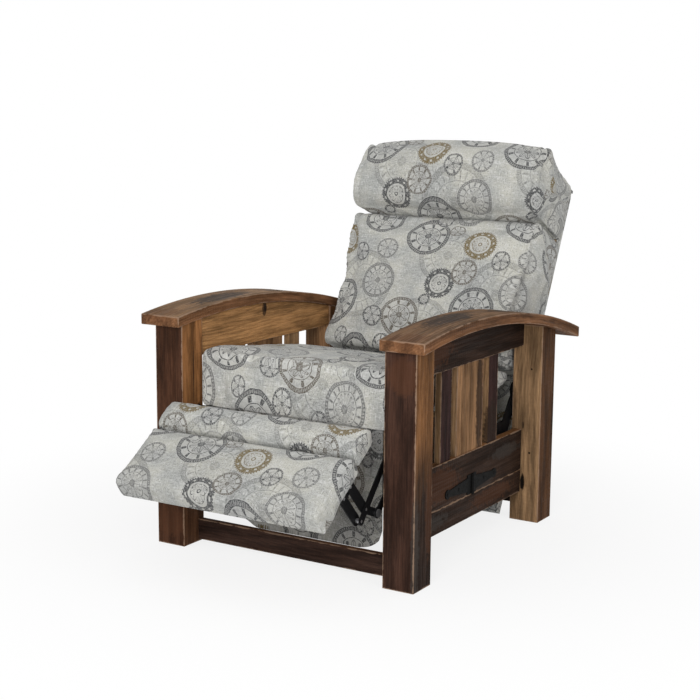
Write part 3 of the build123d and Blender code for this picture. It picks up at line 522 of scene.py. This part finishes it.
# Inner timbers that no sitter sees: the seat box, cleats, footrest board and back frame, of
# plain pale softwood, planed and left bare.
deal = shades(0.5, 0.34, 0.19, 1.25)
for name, along in (
    ("cleats", "y"), ("seat_box_ends", "x"), ("seat_box_sides", "y"), ("footrest_board", "x"),
    ("back_stiles", "z"), ("back_rails", "x"),
):
    old_timber(name, along, deal, len(name))

# Printed linen for all the upholstery: pale grey cloth with slubs in the yarn, printed in
# worn grey and ochre inks with rosettes, star wheels and toothed rings of many sizes.
print_tile, threads_per_metre = 0.46, 4200
wheel, came, gave = new_group(
    "printed_wheel",
    {
        "Place": "vector", "Centre": "vector", "Radius": "value", "Turn": "value", "Petals": "value",
        "Ticks": "value", "Filled": "value",
    },
    {"Ink": "value", "Cover": "value"},
)
offset = vector_sums(wheel, "SUBTRACT", came["Place"], came["Centre"])
near_one = vector_sums(wheel, "WRAP", offset, (print_tile / 2,) * 3, (-print_tile / 2,) * 3)
axes = split(wheel, near_one)
out = sums(wheel, "DIVIDE", vector_sums(wheel, "LENGTH", near_one), came["Radius"])
bearing = sums(wheel, "ARCTAN2", axes["Y"], axes["X"])
around = sums(wheel, "MULTIPLY_ADD", bearing, 1 / (2 * math.pi), came["Turn"])


def circle_line(radius, half_width):
    """A printed ring of a given radius, as a share of the wheel's."""
    return sums(wheel, "COMPARE", out, radius, half_width)


def teeth(count, open_share, low, high):
    """Marks repeated round the wheel between two radii."""
    phase = sums(wheel, "FRACT", times(wheel, around, count))
    beat = sums(wheel, "COMPARE", phase, 0.5, open_share / 2)
    return times(wheel, beat, circle_line((low + high) / 2, (high - low) / 2))


def either(*marks):
    """The darkest of several marks."""
    total = marks[0]
    for mark in marks[1:]:
        total = sums(wheel, "MAXIMUM", total, mark)
    return total


petal_turn = times(wheel, times(wheel, around, came["Petals"]), math.pi)
wave = sums(wheel, "ABSOLUTE", sums(wheel, "SINE", petal_turn))
petal_line = sums(wheel, "COMPARE", out, sums(wheel, "MULTIPLY_ADD", wave, 0.24, 0.24), 0.024)
star_edge = sums(wheel, "MULTIPLY_ADD", sums(wheel, "POWER", wave, 7), 0.4, 0.05)
star = sums(wheel, "LESS_THAN", out, star_edge)
hatching = sums(wheel, "MULTIPLY_ADD", teeth(came["Ticks"], 0.5, 0.86, 0.99), 0.5, 0.5)
rim = times(wheel, circle_line(0.925, 0.06), hatching)
hub = times(wheel, circle_line(0.11, 0.045), 0.9)
lines = either(
    rim, circle_line(0.99, 0.016), circle_line(0.86, 0.018), circle_line(0.57, 0.016), hub,
    teeth(came["Petals"], 0.24, 0.61, 0.82),
    petal_line, times(wheel, star, 0.7),
)
band = sums(wheel, "COMPARE", out, 0.8, 0.16)
band = sums(wheel, "MAXIMUM", band, teeth(came["Ticks"], 0.5, 0.94, 1.02))
beads = teeth(came["Petals"], 0.3, 0.76, 0.86)
rings_of_band = either(
    sums(wheel, "SUBTRACT", band, beads, clamp=True), circle_line(0.5, 0.012), petal_line,
    circle_line(0.1, 0.03),
)
filled_ink = times(wheel, rings_of_band, came["Filled"])
open_ink = times(wheel, lines, sums(wheel, "SUBTRACT", 1, came["Filled"]))
wheel.links.new(sums(wheel, "ADD", filled_ink, open_ink), gave["Ink"])
wheel.links.new(sums(wheel, "LESS_THAN", out, 1.03), gave["Cover"])

linen, came, gave = new_group(
    "printed_linen", {"Place": "vector"}, {"Colour": "colour", "Roughness": "value", "Height": "value"}
)
place = came["Place"]
wobble = new_node(linen, "TexNoise", {"Vector": place, "Scale": 55}).outputs["Color"]
shift = vector_sums(linen, "SCALE", vector_sums(linen, "SUBTRACT", wobble, (0.5, 0.5, 0.5)))
shift.node.inputs["Scale"].default_value = 0.004
printed_place = vector_sums(linen, "MULTIPLY", vector_sums(linen, "ADD", place, shift), (1, 1, 0))

# Each wheel's X, Y and radius on the repeat, its turn, petals and ticks, whether it is filled,
# and its ink; the ghosts are larger, fainter and grey
wheels = (
    (0.09, 0.085, 0.068, 0.03, 9, 60, 0, "grey"),
    (0.262, 0.062, 0.05, 0.11, 12, 44, 1, "ochre"),
    (0.385, 0.15, 0.066, 0.2, 7, 72, 0, "grey"),
    (0.2, 0.2, 0.058, 0.07, 16, 50, 0, "pale"),
    (0.06, 0.275, 0.062, 0.15, 8, 64, 0, "brown"),
    (0.29, 0.315, 0.072, 0.0, 11, 80, 0, "grey"),
    (0.165, 0.39, 0.047, 0.3, 10, 40, 1, "grey"),
    (0.42, 0.385, 0.055, 0.42, 14, 56, 0, "pale"),
    (0.43, 0.27, 0.032, 0.1, 6, 30, 0, "grey"),
    (0.33, 0.215, 0.021, 0.1, 5, 24, 0, "grey"),
    (0.175, 0.115, 0.024, 0.2, 6, 26, 0, "brown"),
    (0.43, 0.03, 0.034, 0.1, 8, 30, 0, "pale"),
    (0.13, 0.335, 0.019, 0.1, 5, 20, 1, "grey"),
    (0.01, 0.19, 0.03, 0.25, 7, 28, 0, "grey"),
    (0.235, 0.43, 0.04, 0.35, 9, 36, 0, "brown"),
    (0.34, 0.015, 0.03, 0.5, 5, 26, 0, "grey"),
    (0.125, 0.16, 0.028, 0.6, 6, 24, 0, "grey"),
)
ghosts = (
    (0.17, 0.02, 0.09, 0.1, 18, 90, 0),
    (0.13, 0.24, 0.1, 0.2, 20, 100, 0),
    (0.36, 0.37, 0.11, 0.4, 26, 120, 0),
)
inks = {
    "grey": (0.032, 0.033, 0.037, 1),
    "ochre": (0.14, 0.095, 0.022, 1),
    "pale": (0.13, 0.13, 0.127, 1),
    "brown": (0.085, 0.068, 0.048, 1),
}
yarn_u = cloud(linen, place, (60, 480, 0), 3)
yarn_v = cloud(linen, place, (480, 60, 0), 3)
slub = smooth(linen, sums(linen, "MAXIMUM", yarn_u, yarn_v), 0.5, 0.72)
mottle = cloud(linen, place, (9, 9, 0), 4)
cool_grey, warm_grey = (0.35, 0.358, 0.342, 1), (0.52, 0.512, 0.452, 1)
base = tint(linen, smooth(linen, mottle, 0.35, 0.65), cool_grey, warm_grey)
brush = smooth(linen, cloud(linen, place, (22, 110, 0), 5, 0.7), 0.52, 0.7)
base = tint(linen, times(linen, brush, 0.6), base, (0.68, 0.68, 0.67, 1))
base = tint(linen, times(linen, slub, 0.8), base, (0.72, 0.72, 0.71, 1))
speck = smooth(linen, cloud(linen, place, (260, 260, 0), 3, 0.7), 0.52, 0.66)
base = tint(linen, times(linen, speck, 0.62), base, (0.15, 0.15, 0.147, 1))
wear = smooth(linen, cloud(linen, place, (260, 260, 0), 5, 0.75), 0.34, 0.6, 0.45, 1)


def printed_wheel(x, y, *settings):
    """One printed wheel, at a place on the repeat."""
    named = dict(zip(("radius", "turn", "petals", "ticks", "filled"), settings))
    return put_group(linen, wheel, place=printed_place, centre=(x, y, 0), **named)


for ghost in ghosts:
    faint = times(linen, times(linen, printed_wheel(*ghost)["Ink"], wear), 0.4)
    base = tint(linen, faint, base, inks["grey"])
for *settings, ink in wheels:
    made = printed_wheel(*settings)
    base = tint(linen, times(linen, made["Cover"], 0.4), base, (0.5, 0.5, 0.485, 1))
    base = tint(linen, times(linen, made["Ink"], wear), base, inks[ink])
linen.links.new(base, gave["Colour"])
linen.links.new(smooth(linen, slub, 0, 1, 0.95, 0.8), gave["Roughness"])
threads = []
for across in ((1, 0, 0), (0, 1, 0)):
    reach = vector_sums(linen, "DOT_PRODUCT", place, across)
    threads.append(sums(linen, "SINE", times(linen, reach, threads_per_metre)))
weave = times(linen, times(linen, *threads), 0.25)
linen.links.new(sums(linen, "ADD", weave, times(linen, slub, 0.9)), gave["Height"])


def upholstery(name, offset, shade=1.0):
    """Printed linen laid on a piece by its own UV map, in metres, and darkened by a shade factor, which
    paints shade into its colour.
    """
    material, tree, output = new_material(name)
    laid = new_node(tree, "UVMap", uv_map="cloth").outputs[0]
    cloth = put_group(tree, linen, place=shifted(tree, laid, (*offset, 0)))
    make_surface(tree, output, cloth["Height"], strength=0.5, depth=0.0006, settings={
        "Base Color": tint(tree, 1.0, cloth["Colour"], (shade, shade, shade, 1), "MULTIPLY"),
        "Roughness": cloth["Roughness"],
        "Sheen Weight": 0.12,
        "Sheen Roughness": 0.5,
        "Specular IOR Level": 0.25,
    })
    return material


# Filled cushions are sewn cases stuffed with foam and fibre. Each starts as the solid that
# it fills, is drawn in a little, then blown up as cloth against its tacked faces.
blow_frames = 20


def apply_modifier(piece, kind, **settings):
    """Add a modifier, set it and apply it at once."""
    active_only(piece)
    modifier = piece.modifiers.new(kind.lower(), kind)
    for name, value in settings.items():
        setattr(modifier, name, value)
    bpy.ops.object.modifier_apply(modifier=modifier.name)


def write_points(mesh, points):
    """Put changed points back into a mesh."""
    mesh.vertices.foreach_set("co", np.ascontiguousarray(points, dtype=np.float32).ravel())
    mesh.update()


def read_normals(mesh):
    """A mesh's outward direction at each point."""
    return read_all(mesh.vertex_normals, "vector", 3).astype(float)


def lift(piece, height_at):
    """Raise a surface along its own outward direction, by a height worked at each point."""
    points = read_points(piece.data)
    points += read_normals(piece.data) * height_at(points)[:, None]
    write_points(piece.data, points)


def push(points, distance, way):
    """Move points one way in side view, each by a distance of its own."""
    points[:, 1:] += distance[:, None] * way


def measured(points, foot, way_up, way_out):
    """How far up a lean, from its foot, and how far out of its face each point is."""
    apart = points[:, 1:] - foot
    return apart @ way_up, apart @ way_out


def placed(corners, foot, way_up, way_out):
    """(Y, Z) places from how far up a lean and how far out of its face they are."""
    return [tuple(foot + up * way_up + out * way_out) for up, out in corners]


def eased(values, low, high):
    """0 below a range, 1 above it and smooth between."""
    share = np.clip((values - low) / (high - low), 0, 1)
    return share * share * (3 - 2 * share)


def along_path(path, points):
    """How far along a side-view path each point's nearest place is, and how far off it lies."""
    best = np.full(len(points), 1e9)
    length = np.zeros(len(points))
    gone = 0.0
    path = np.array(path)
    for start, end in zip(path[:-1], path[1:]):
        span = np.linalg.norm(end - start)
        share = np.clip((points - start) @ (end - start) / span**2, 0, 1)
        off = np.linalg.norm(points - start - share[:, None] * (end - start), axis=1)
        closer = off < best
        best[closer] = off[closer]
        length[closer] = gone + share[closer] * span
        gone += span
    return length, best


def lay_cloth(piece, path, half_width):
    """A UV map in metres: across the chair, and along the cloth's path in side view."""
    mesh = piece.data
    points = read_points(mesh)
    length, off = along_path(path, points[:, 1:])
    corners = read_all(mesh.loops, "vertex_index", 1, np.int32)[:, 0]
    sizes = read_all(mesh.polygons, "loop_total", 1, np.int32)[:, 0]
    sideways = np.repeat(read_all(mesh.polygons, "normal", 3)[:, 0], sizes)
    round_side = np.sign(sideways) * (half_width + off[corners])
    across = np.where(np.abs(sideways) > 0.72, round_side, points[corners, 0])
    layer = mesh.uv_layers.new(name="cloth")
    layer.data.foreach_set("uv", np.c_[across, length[corners]].astype(np.float32).ravel())


def edit_whole(piece):
    """Enter edit mode with the whole of a mesh selected."""
    active_only(piece)
    bpy.ops.object.mode_set(mode="EDIT")
    bpy.ops.mesh.select_all(action="SELECT")


def solid_copy(name, source):
    """A loose copy of a CAD solid, with the points that its faces share joined."""
    piece = nodes[source].copy()
    piece.data = nodes[source].data.copy()
    piece.name = name
    piece.parent = None
    for key in list(piece.keys()):
        del piece[key]
    scene.collection.objects.link(piece)
    piece.data.materials.clear()
    edit_whole(piece)
    bpy.ops.mesh.remove_doubles(threshold=0.00002)
    bpy.ops.mesh.customdata_custom_splitnormals_clear()
    bpy.ops.object.mode_set(mode="OBJECT")
    return piece


def stuffed(
    name, source, way_out, path, cap, shrink=0.006, voxel=0.007, pressure=4.0, loose=0.03, sink=0.004,
    tacked_behind=math.inf,
):
    """A filled piece from a CAD solid: drawn in, remeshed, blown up as loose cloth and smoothed.

    The case is drawn in by shrink and cut larger by loose, and rises from there by up to cap,
    or sinks by up to sink. Its underside, away from the way out of its face, stays tacked, and
    so does what lies behind a given Y.
    """
    piece = solid_copy(name, source)
    apply_modifier(piece, "REMESH", mode="VOXEL", voxel_size=voxel)
    apply_modifier(piece, "DISPLACE", strength=-shrink, mid_level=0)
    apply_modifier(piece, "SMOOTH", factor=0.5, iterations=3)
    lay_cloth(piece, path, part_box(source)[1].x)
    start = read_points(piece.data)
    normals = read_normals(piece.data)
    tacked = (normals[:, 1:] @ way_out < -0.6) | (start[:, 1] > tacked_behind)
    group = piece.vertex_groups.new(name="tacked")
    group.add([int(i) for i in np.flatnonzero(tacked)], 1.0, "REPLACE")
    cloth = piece.modifiers.new("cloth", "CLOTH")
    for label, value in {
        "vertex_group_mass": "tacked", "quality": 6, "mass": 0.3, "tension_stiffness": 10,
        "compression_stiffness": 10, "shear_stiffness": 5, "bending_stiffness": 0.3,
        "shrink_min": -loose, "use_pressure": True, "uniform_pressure_force": pressure,
    }.items():
        setattr(cloth.settings, label, value)
    cloth.settings.effector_weights.gravity = 0
    cloth.point_cache.frame_start = 1
    cloth.point_cache.frame_end = blow_frames
    for step in range(1, blow_frames + 1):
        scene.frame_set(step)
    blown = piece.evaluated_get(bpy.context.evaluated_depsgraph_get())
    moved = read_points(blown.data) - start
    piece.modifiers.remove(cloth)
    # the fill keeps the case from falling in, and the limits are eased, so that the
    # cloth isn't cut off flat where it reaches them
    risen = (moved * normals).sum(axis=1)
    limit = np.where(risen > 0, cap, sink)
    moved += normals * (limit * np.tanh(risen / limit) - risen)[:, None]
    distance = np.linalg.norm(moved, axis=1)
    moved *= (cap * np.tanh(distance / cap) / np.maximum(distance, 1e-9))[:, None]
    write_points(piece.data, start + moved)
    scene.frame_set(1)
    apply_modifier(piece, "SMOOTH", factor=0.4, iterations=1)
    apply_modifier(piece, "SUBSURF", levels=1, render_levels=1)
    bpy.ops.object.shade_smooth()
    return piece


def hold_width(piece, limit):
    """Keep a cushion's sides within a half width, one for all or one for each point."""
    points = read_points(piece.data)
    width = np.abs(points[:, 0])
    ease = 0.003
    over = np.maximum(width - (limit - ease), 0)
    width = np.minimum(width, limit - ease) + ease * np.tanh(over / ease)
    points[:, 0] = np.sign(points[:, 0]) * width
    write_points(piece.data, points)


def swells(points, count, low, high, seed):
    """Gentle uneven waves over a surface, between -1 and 1."""
    chance = np.random.default_rng(seed)
    total = np.zeros(len(points))
    for _ in range(count):
        way = chance.normal(size=3)
        way *= chance.uniform(low, high) / np.linalg.norm(way)
        total += np.sin(points @ way + chance.uniform(0, 6.28))
    return total / math.sqrt(count)


def finish_cushion(piece, body, source, cloth, offset, shade=1.0):
    """Its cloth, darkened by painted shade where a shade below 1 is given, the body that it rides on, and
    the solid that it stands for.
    """
    piece.data.materials.append(upholstery(cloth, offset, shade))
    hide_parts(source)
    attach(piece, body)


# The seat cushion: a deep boxed cushion with a rolled front edge, held to the seat box's
# springs, and crowned in the middle.
seat_low, seat_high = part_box("seat_cushion")
seat_path = [
    (seat_low.y, 0.38), (seat_low.y, 0.52), (seat_low.y + 0.02, 0.54), (seat_low.y + 0.13, 0.545),
    (seat_high.y, 0.446),
]
seat = stuffed(
    "seat_pad", "seat_cushion", (0, 1), seat_path, cap=0.010, tacked_behind=seat_high.y - 0.03
)
hold_width(seat, 0.3005)

# It is fuller above the arms' lower edge and at its front corners, its front hangs down over
# the apron, and its top dips behind the front roll and again under the back pad.
side_gain, corner_gain, front_drop, top_dip, rear_dip = 0.036, 0.008, 0.028, 0.017, 0.007
points = read_points(seat.data)
points[:, 0] *= 1 + side_gain * eased(points[:, 2], 0.404, 0.425)
corner = eased(np.abs(points[:, 0]), 0.27, 0.305) * eased(-points[:, 1], 0.3, 0.345)
points[:, 1] -= corner_gain * corner * eased(points[:, 2], 0.404, 0.43)
front_lip = eased(-points[:, 1], 0.349, 0.358) * (1 - eased(points[:, 2], 0.42, 0.5))
points[:, 2] -= front_drop * front_lip
points[:, 2] -= top_dip * eased(points[:, 1], -0.33, -0.1) * eased(points[:, 2], 0.45, 0.5)
points[:, 2] -= rear_dip * eased(points[:, 1], 0.16, 0.24) * eased(points[:, 2], 0.4, 0.43)
write_points(seat.data, points)
lift(seat, lambda p: np.clip((p[:, 2] - 0.42) / 0.06, 0, 1) * 0.0018 * swells(p, 9, 18, 60, 3))
finish_cushion(seat, "frame", "seat_cushion", "seat_linen", (0.05, 0.13))

# The back's two cushions are boxed cases of the same linen, filled with fibre: a lower pad
# with puckered side bands, and a head pillow above it. Their places are worked in the back's
# own lean, along it and out of its face.
lean = math.radians(26.5)
back_foot = np.array([0.274, 0.018])
back_up = np.array([math.sin(lean), math.cos(lean)])
back_out = np.array([-math.cos(lean), math.sin(lean)])
back = (back_foot, back_up, back_out)


def seam(piece, half_width, face_from, depth, width, reach, height, pitch, seed):
    """Draw a back cushion in along the seams at its face's sides, and pucker it beside them.

    The seams lie at a half width, where the cushion is further out than face_from. The
    puckers have a height and a pitch, and fade over a reach.
    """

    def distance(points):
        """How far each point is from the seams."""
        return np.where(measured(points, *back)[1] > face_from, np.abs(points[:, 0]) - half_width, 1.0)

    lift(piece, lambda p: -depth * np.exp(-((distance(p) / width) ** 2)))
    waves = (8, 0.7 / pitch, 1.4 / pitch, seed)
    lift(piece, lambda p: height * np.exp(-np.abs(distance(p)) / reach) * swells(p, *waves))


pad_corners = ((0.413, 0.04), (0.413, 0.2), (0.44, 0.23), (0.82, 0.23), (0.845, 0.2), (0.845, 0.04))
pad = stuffed("back_pad", "back_cushion", back_out, placed(pad_corners, *back), cap=0.024, shrink=0.007)
along = measured(read_points(pad.data), *back)[0]
hold_width(pad, np.clip(0.306 + (along - 0.64) * 0.15, 0.306, 0.318))

# It is wider above the arms, fuller in the face, and its lower front sags onto the seat
upper_gain, face_gain, front_sag, sag_out, foot_gain = 0.034, 0.008, 0.023, 0.009, 0.008
points = read_points(pad.data)
along, out = measured(points, *back)
points[:, 0] *= 1 + upper_gain * eased(along, 0.62, 0.7)
push(points, face_gain * eased(out, 0.12, 0.2) * (1 - eased(along, 0.8, 0.845)), back_out)
push(points, -front_sag * eased(out, 0.08, 0.2) * (1 - eased(along, 0.42, 0.5)), back_up)
push(points, sag_out * eased(out, 0.12, 0.2) * (1 - eased(along, 0.42, 0.64)), back_out)
points[:, 0] *= 1 + foot_gain - foot_gain * eased(along, 0.42, 0.5)
write_points(pad.data, points)
seam(pad, 0.296, 0.13, depth=0.006, width=0.006, reach=0.035, height=0.003, pitch=0.012, seed=5)
finish_cushion(pad, "back", "back_cushion", "back_linen", (0.11, 0.02))

roll_corners = (
    (0.846, 0.1), (0.846, 0.24), (0.88, 0.284), (0.953, 0.28), (1.061, 0.222), (1.03, 0.02), (0.85, 0),
)
pillow = stuffed("head_pillow", "head_roll", back_out, placed(roll_corners, *back), cap=0.024)

# It is plumped up and forward in the middle, and a little wider than its case was cut
crown_gain, width_gain = 0.026, 0.022
points = read_points(pillow.data)
along, out = measured(points, *back)
middle = 1 - np.clip(np.abs(points[:, 0]) / 0.31, 0, 1) ** 2.6
push(points, crown_gain * middle * eased(along, 0.9, 1.03), back_up)
push(points, crown_gain * eased(along, 0.9, 1.03) * eased(out, 0.06, 0.2), back_out)
points[:, 0] *= 1 + width_gain
write_points(pillow.data, points)
seam(pillow, 0.29, 0.05, depth=0.005, width=0.006, reach=0.04, height=0.003, pitch=0.014, seed=8)
finish_cushion(pillow, "back", "head_roll", "pillow_linen", (0.31, 0.2))

# The footrest's two pads are foam in the same linen, wrapped over the edges of its board: a
# flat one with a rolled front edge, and a fuller roll behind it.
rest_angle = math.radians(34)
rest_up = np.array([math.cos(rest_angle), math.sin(rest_angle)])
rest_out = np.array([-math.sin(rest_angle), math.cos(rest_angle)])
board_points = read_points(nodes["footrest_board"].data)[:, 1:]
nearest = (board_points @ (rest_up + rest_out)).argmin()
rest_foot = board_points[nearest] - 0.013 * rest_up
rest = (rest_foot, rest_up, rest_out)
toe_corners = ((0.02, 0), (0, 0.012), (0, 0.035), (0.012, 0.047), (0.2, 0.047), (0.206, 0.03))
toe_pad = stuffed(
    "toe_pad", "footrest_pad", rest_out, placed(toe_corners, *rest),
    cap=0.012, shrink=0.002, voxel=0.005, pressure=5.0, loose=0.02, sink=0.002,
)
hold_width(toe_pad, 0.303)

# Its face is raised, and its linen is drawn down past the board's underside, at the sides
# and further at the front
face_gain, side_drop, front_drop, width_gain = 0.004, 0.008, 0.011, 0.018
points = read_points(toe_pad.data)
push(points, face_gain * eased(measured(points, *rest)[1], 0.02, 0.045), rest_out)
along, out = measured(points, *rest)
drop = side_drop + front_drop * (1 - eased(along, 0.05, 0.1))
at_side = eased(np.abs(points[:, 0]), 0.288, 0.298)
at_front = 1 - eased(along, 0.004, 0.018)
push(points, -drop * np.maximum(at_side, at_front) * (1 - eased(out, 0.0, 0.04)), rest_out)
points[:, 0] *= 1 + width_gain * eased(np.abs(points[:, 0]), 0.2, 0.3)
write_points(toe_pad.data, points)
# Its linen is darkened to 0.84 as painted shade, dimming its face where it turns up towards the lamps.
finish_cushion(toe_pad, "footrest", "footrest_pad", "toe_linen", (0.21, 0.33), 0.84)

calf_corners = ((0.207, 0.02), (0.212, 0.045), (0.225, 0.05), (0.285, 0.05), (0.3, 0.035), (0.3, 0))
calf_roll = stuffed(
    "calf_roll", "footrest_roll", rest_out, placed(calf_corners, *rest),
    cap=0.02, shrink=0.002, voxel=0.005, pressure=10.0, loose=0.04, sink=0.002,
)

# It is plumped into a roll, its rear edge drawn on
roll_start, roll_reach, roll_gain, rear_gain = 0.2065, 0.094, 0.010, 0.006
points = read_points(calf_roll.data)
along, out = measured(points, *rest)
over_roll = np.clip((along - roll_start) / roll_reach, 0, 1)
push(points, roll_gain * (np.sin(math.pi * over_roll) * eased(out, 0.012, 0.04)), rest_out)
push(points, rear_gain * eased(out, 0.02, 0.05) * eased(over_roll, 0.4, 1.0), rest_up)
write_points(calf_roll.data, points)
hold_width(calf_roll, 0.3035)
# Its linen is darkened to 0.89 as painted shade, dimming it where it turns up towards the lamps.
finish_cushion(calf_roll, "footrest", "footrest_roll", "calf_linen", (0.02, 0.41), 0.89)

# The apron hangs below the seat's front, between the posts. It is linen over thin wadding,
# turned in at its edges, with rounded lower corners, a rippled face and an uneven hem.
apron_low, apron_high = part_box("apron")
apron_top = apron_high.z - 0.003
apron_width, apron_height, apron_thickness = 0.53, apron_top - apron_low.z, 0.004
corner_radius, hem_rise, ripple = 0.045, 0.010, 0.0016
bpy.ops.mesh.primitive_grid_add(x_subdivisions=54, y_subdivisions=34, size=1)
apron = bpy.context.object
apron.name = "apron_panel"
points = read_points(apron.data)
x, share = points[:, 0] * apron_width, points[:, 1] + 0.5
past_corner = np.clip(np.abs(x) - (apron_width / 2 - corner_radius), 0, None)
low_edge = corner_radius - apron_height / 2 - np.sqrt(np.clip(corner_radius**2 - past_corner**2, 0, None))
write_points(apron.data, np.c_[x, np.zeros(len(x)), low_edge + share * (apron_height / 2 - low_edge)])
apply_modifier(apron, "SOLIDIFY", thickness=apron_thickness, offset=0)
apply_modifier(apron, "BEVEL", width=apron_thickness * 0.3, segments=2, limit_method="ANGLE")
points = read_points(apron.data)
points[:, 1] += ripple * swells(points, 7, 9, 30, 12) * np.clip(0.5 - points[:, 2] / 0.3, 0, 1)
hem = 1 - 2 * eased(points[:, 0], -0.17, -0.12) + eased(points[:, 0], 0.19, 0.25)
points[:, 2] += hem_rise * hem * eased(-points[:, 2], 0.0, 0.14)
points += np.array([0, (apron_low.y + apron_high.y) / 2, (apron_low.z + apron_top) / 2])
write_points(apron.data, points)
lay_cloth(apron, [(apron_low.y, apron_low.z), (apron_low.y, apron_high.z)], apron_width / 2)
bpy.ops.object.shade_smooth_by_angle(angle=math.radians(50))
# Its linen is darkened to 0.55 as painted shade, for the shadow that the seat and the footrest cast over
# it.
finish_cushion(apron, "frame", "apron", "apron_linen", (0.37, 0.11), 0.55)

# The panels beside the seat show between the slats: the same linen drawn flat over thin
# wadding on the sides of the seat box, printed side out.
sides = solid_copy("seat_side_panels", "seat_side_covers")
edit_whole(sides)
bpy.ops.mesh.subdivide(number_cuts=20)
bpy.ops.object.mode_set(mode="OBJECT")
uv = sides.data.uv_layers.new(name="cloth")
corner_points = read_points(sides.data)
for loop in sides.data.loops:
    uv.data[loop.index].uv = corner_points[loop.vertex_index][1:]
finish_cushion(sides, "frame", "seat_side_covers", "side_linen", (0.2, 0.1))

# The back's shell: a shallow tray that closes the back from behind, covered in the same
# linen, its rear face crowned a little by wadding, with a lining in front below the pad.
shell_length, shell_half, shell_depth = 1.003, 0.2975, 0.0283
rear_crown, lining_height, lining_out, lining_dimple = 0.007, 0.42, 0.0267, 0.002
bpy.ops.mesh.primitive_cube_add(size=1)
shell = bpy.context.object
shell.name = "back_shell"
write_points(shell.data, read_points(shell.data) * (2 * shell_half, shell_depth, shell_length))
bpy.ops.object.mode_set(mode="EDIT")
bpy.ops.mesh.select_all(action="DESELECT")
bpy.ops.object.mode_set(mode="OBJECT")
for face in shell.data.polygons:
    face.select = face.normal.y < -0.9
bpy.ops.object.mode_set(mode="EDIT")
bpy.ops.mesh.select_mode(type="FACE")
bpy.ops.mesh.delete(type="FACE")
bpy.ops.mesh.select_all(action="SELECT")
bpy.ops.mesh.subdivide(number_cuts=40)
bpy.ops.object.mode_set(mode="OBJECT")
points = read_points(shell.data)
rear = points[:, 1] > shell_depth * 0.45
crown = (1 - (points[:, 0] / shell_half) ** 2) * (1 - (2 * points[:, 2] / shell_length) ** 2)
points[:, 1] += np.where(rear, rear_crown * np.sqrt(np.clip(crown, 0, 1)), 0)
along = (points[:, 2] + shell_length / 2)[:, None]
out = (shell_depth / 2 - points[:, 1])[:, None]
write_points(shell.data, np.c_[points[:, 0], back_foot + along * back_up + out * back_out])
edit_whole(shell)
bpy.ops.mesh.normals_make_consistent(inside=False)
bpy.ops.object.mode_set(mode="OBJECT")

bpy.ops.mesh.primitive_grid_add(x_subdivisions=40, y_subdivisions=30, size=1)
lining = bpy.context.object
points = read_points(lining.data)
along = 0.002 + (points[:, 1] + 0.5)[:, None] * lining_height
out = lining_out + lining_dimple * (1 - (2 * points[:, 0]) ** 2)[:, None]
sideways = points[:, 0] * 2 * (shell_half - 0.001)
write_points(lining.data, np.c_[sideways, back_foot + along * back_up + out * back_out])
active_only(shell)
lining.select_set(True)
bpy.ops.object.join()
lay_cloth(shell, placed(((0, 0), (shell_length, 0)), *back), shell_half)
apply_modifier(shell, "SOLIDIFY", thickness=0.003, offset=-1)
apply_modifier(shell, "BEVEL", width=0.0012, segments=2, limit_method="ANGLE")
bpy.ops.object.shade_smooth_by_angle(angle=math.radians(40))
finish_cushion(shell, "back", "back_cover", "shell_linen", (0.0, 0.27))
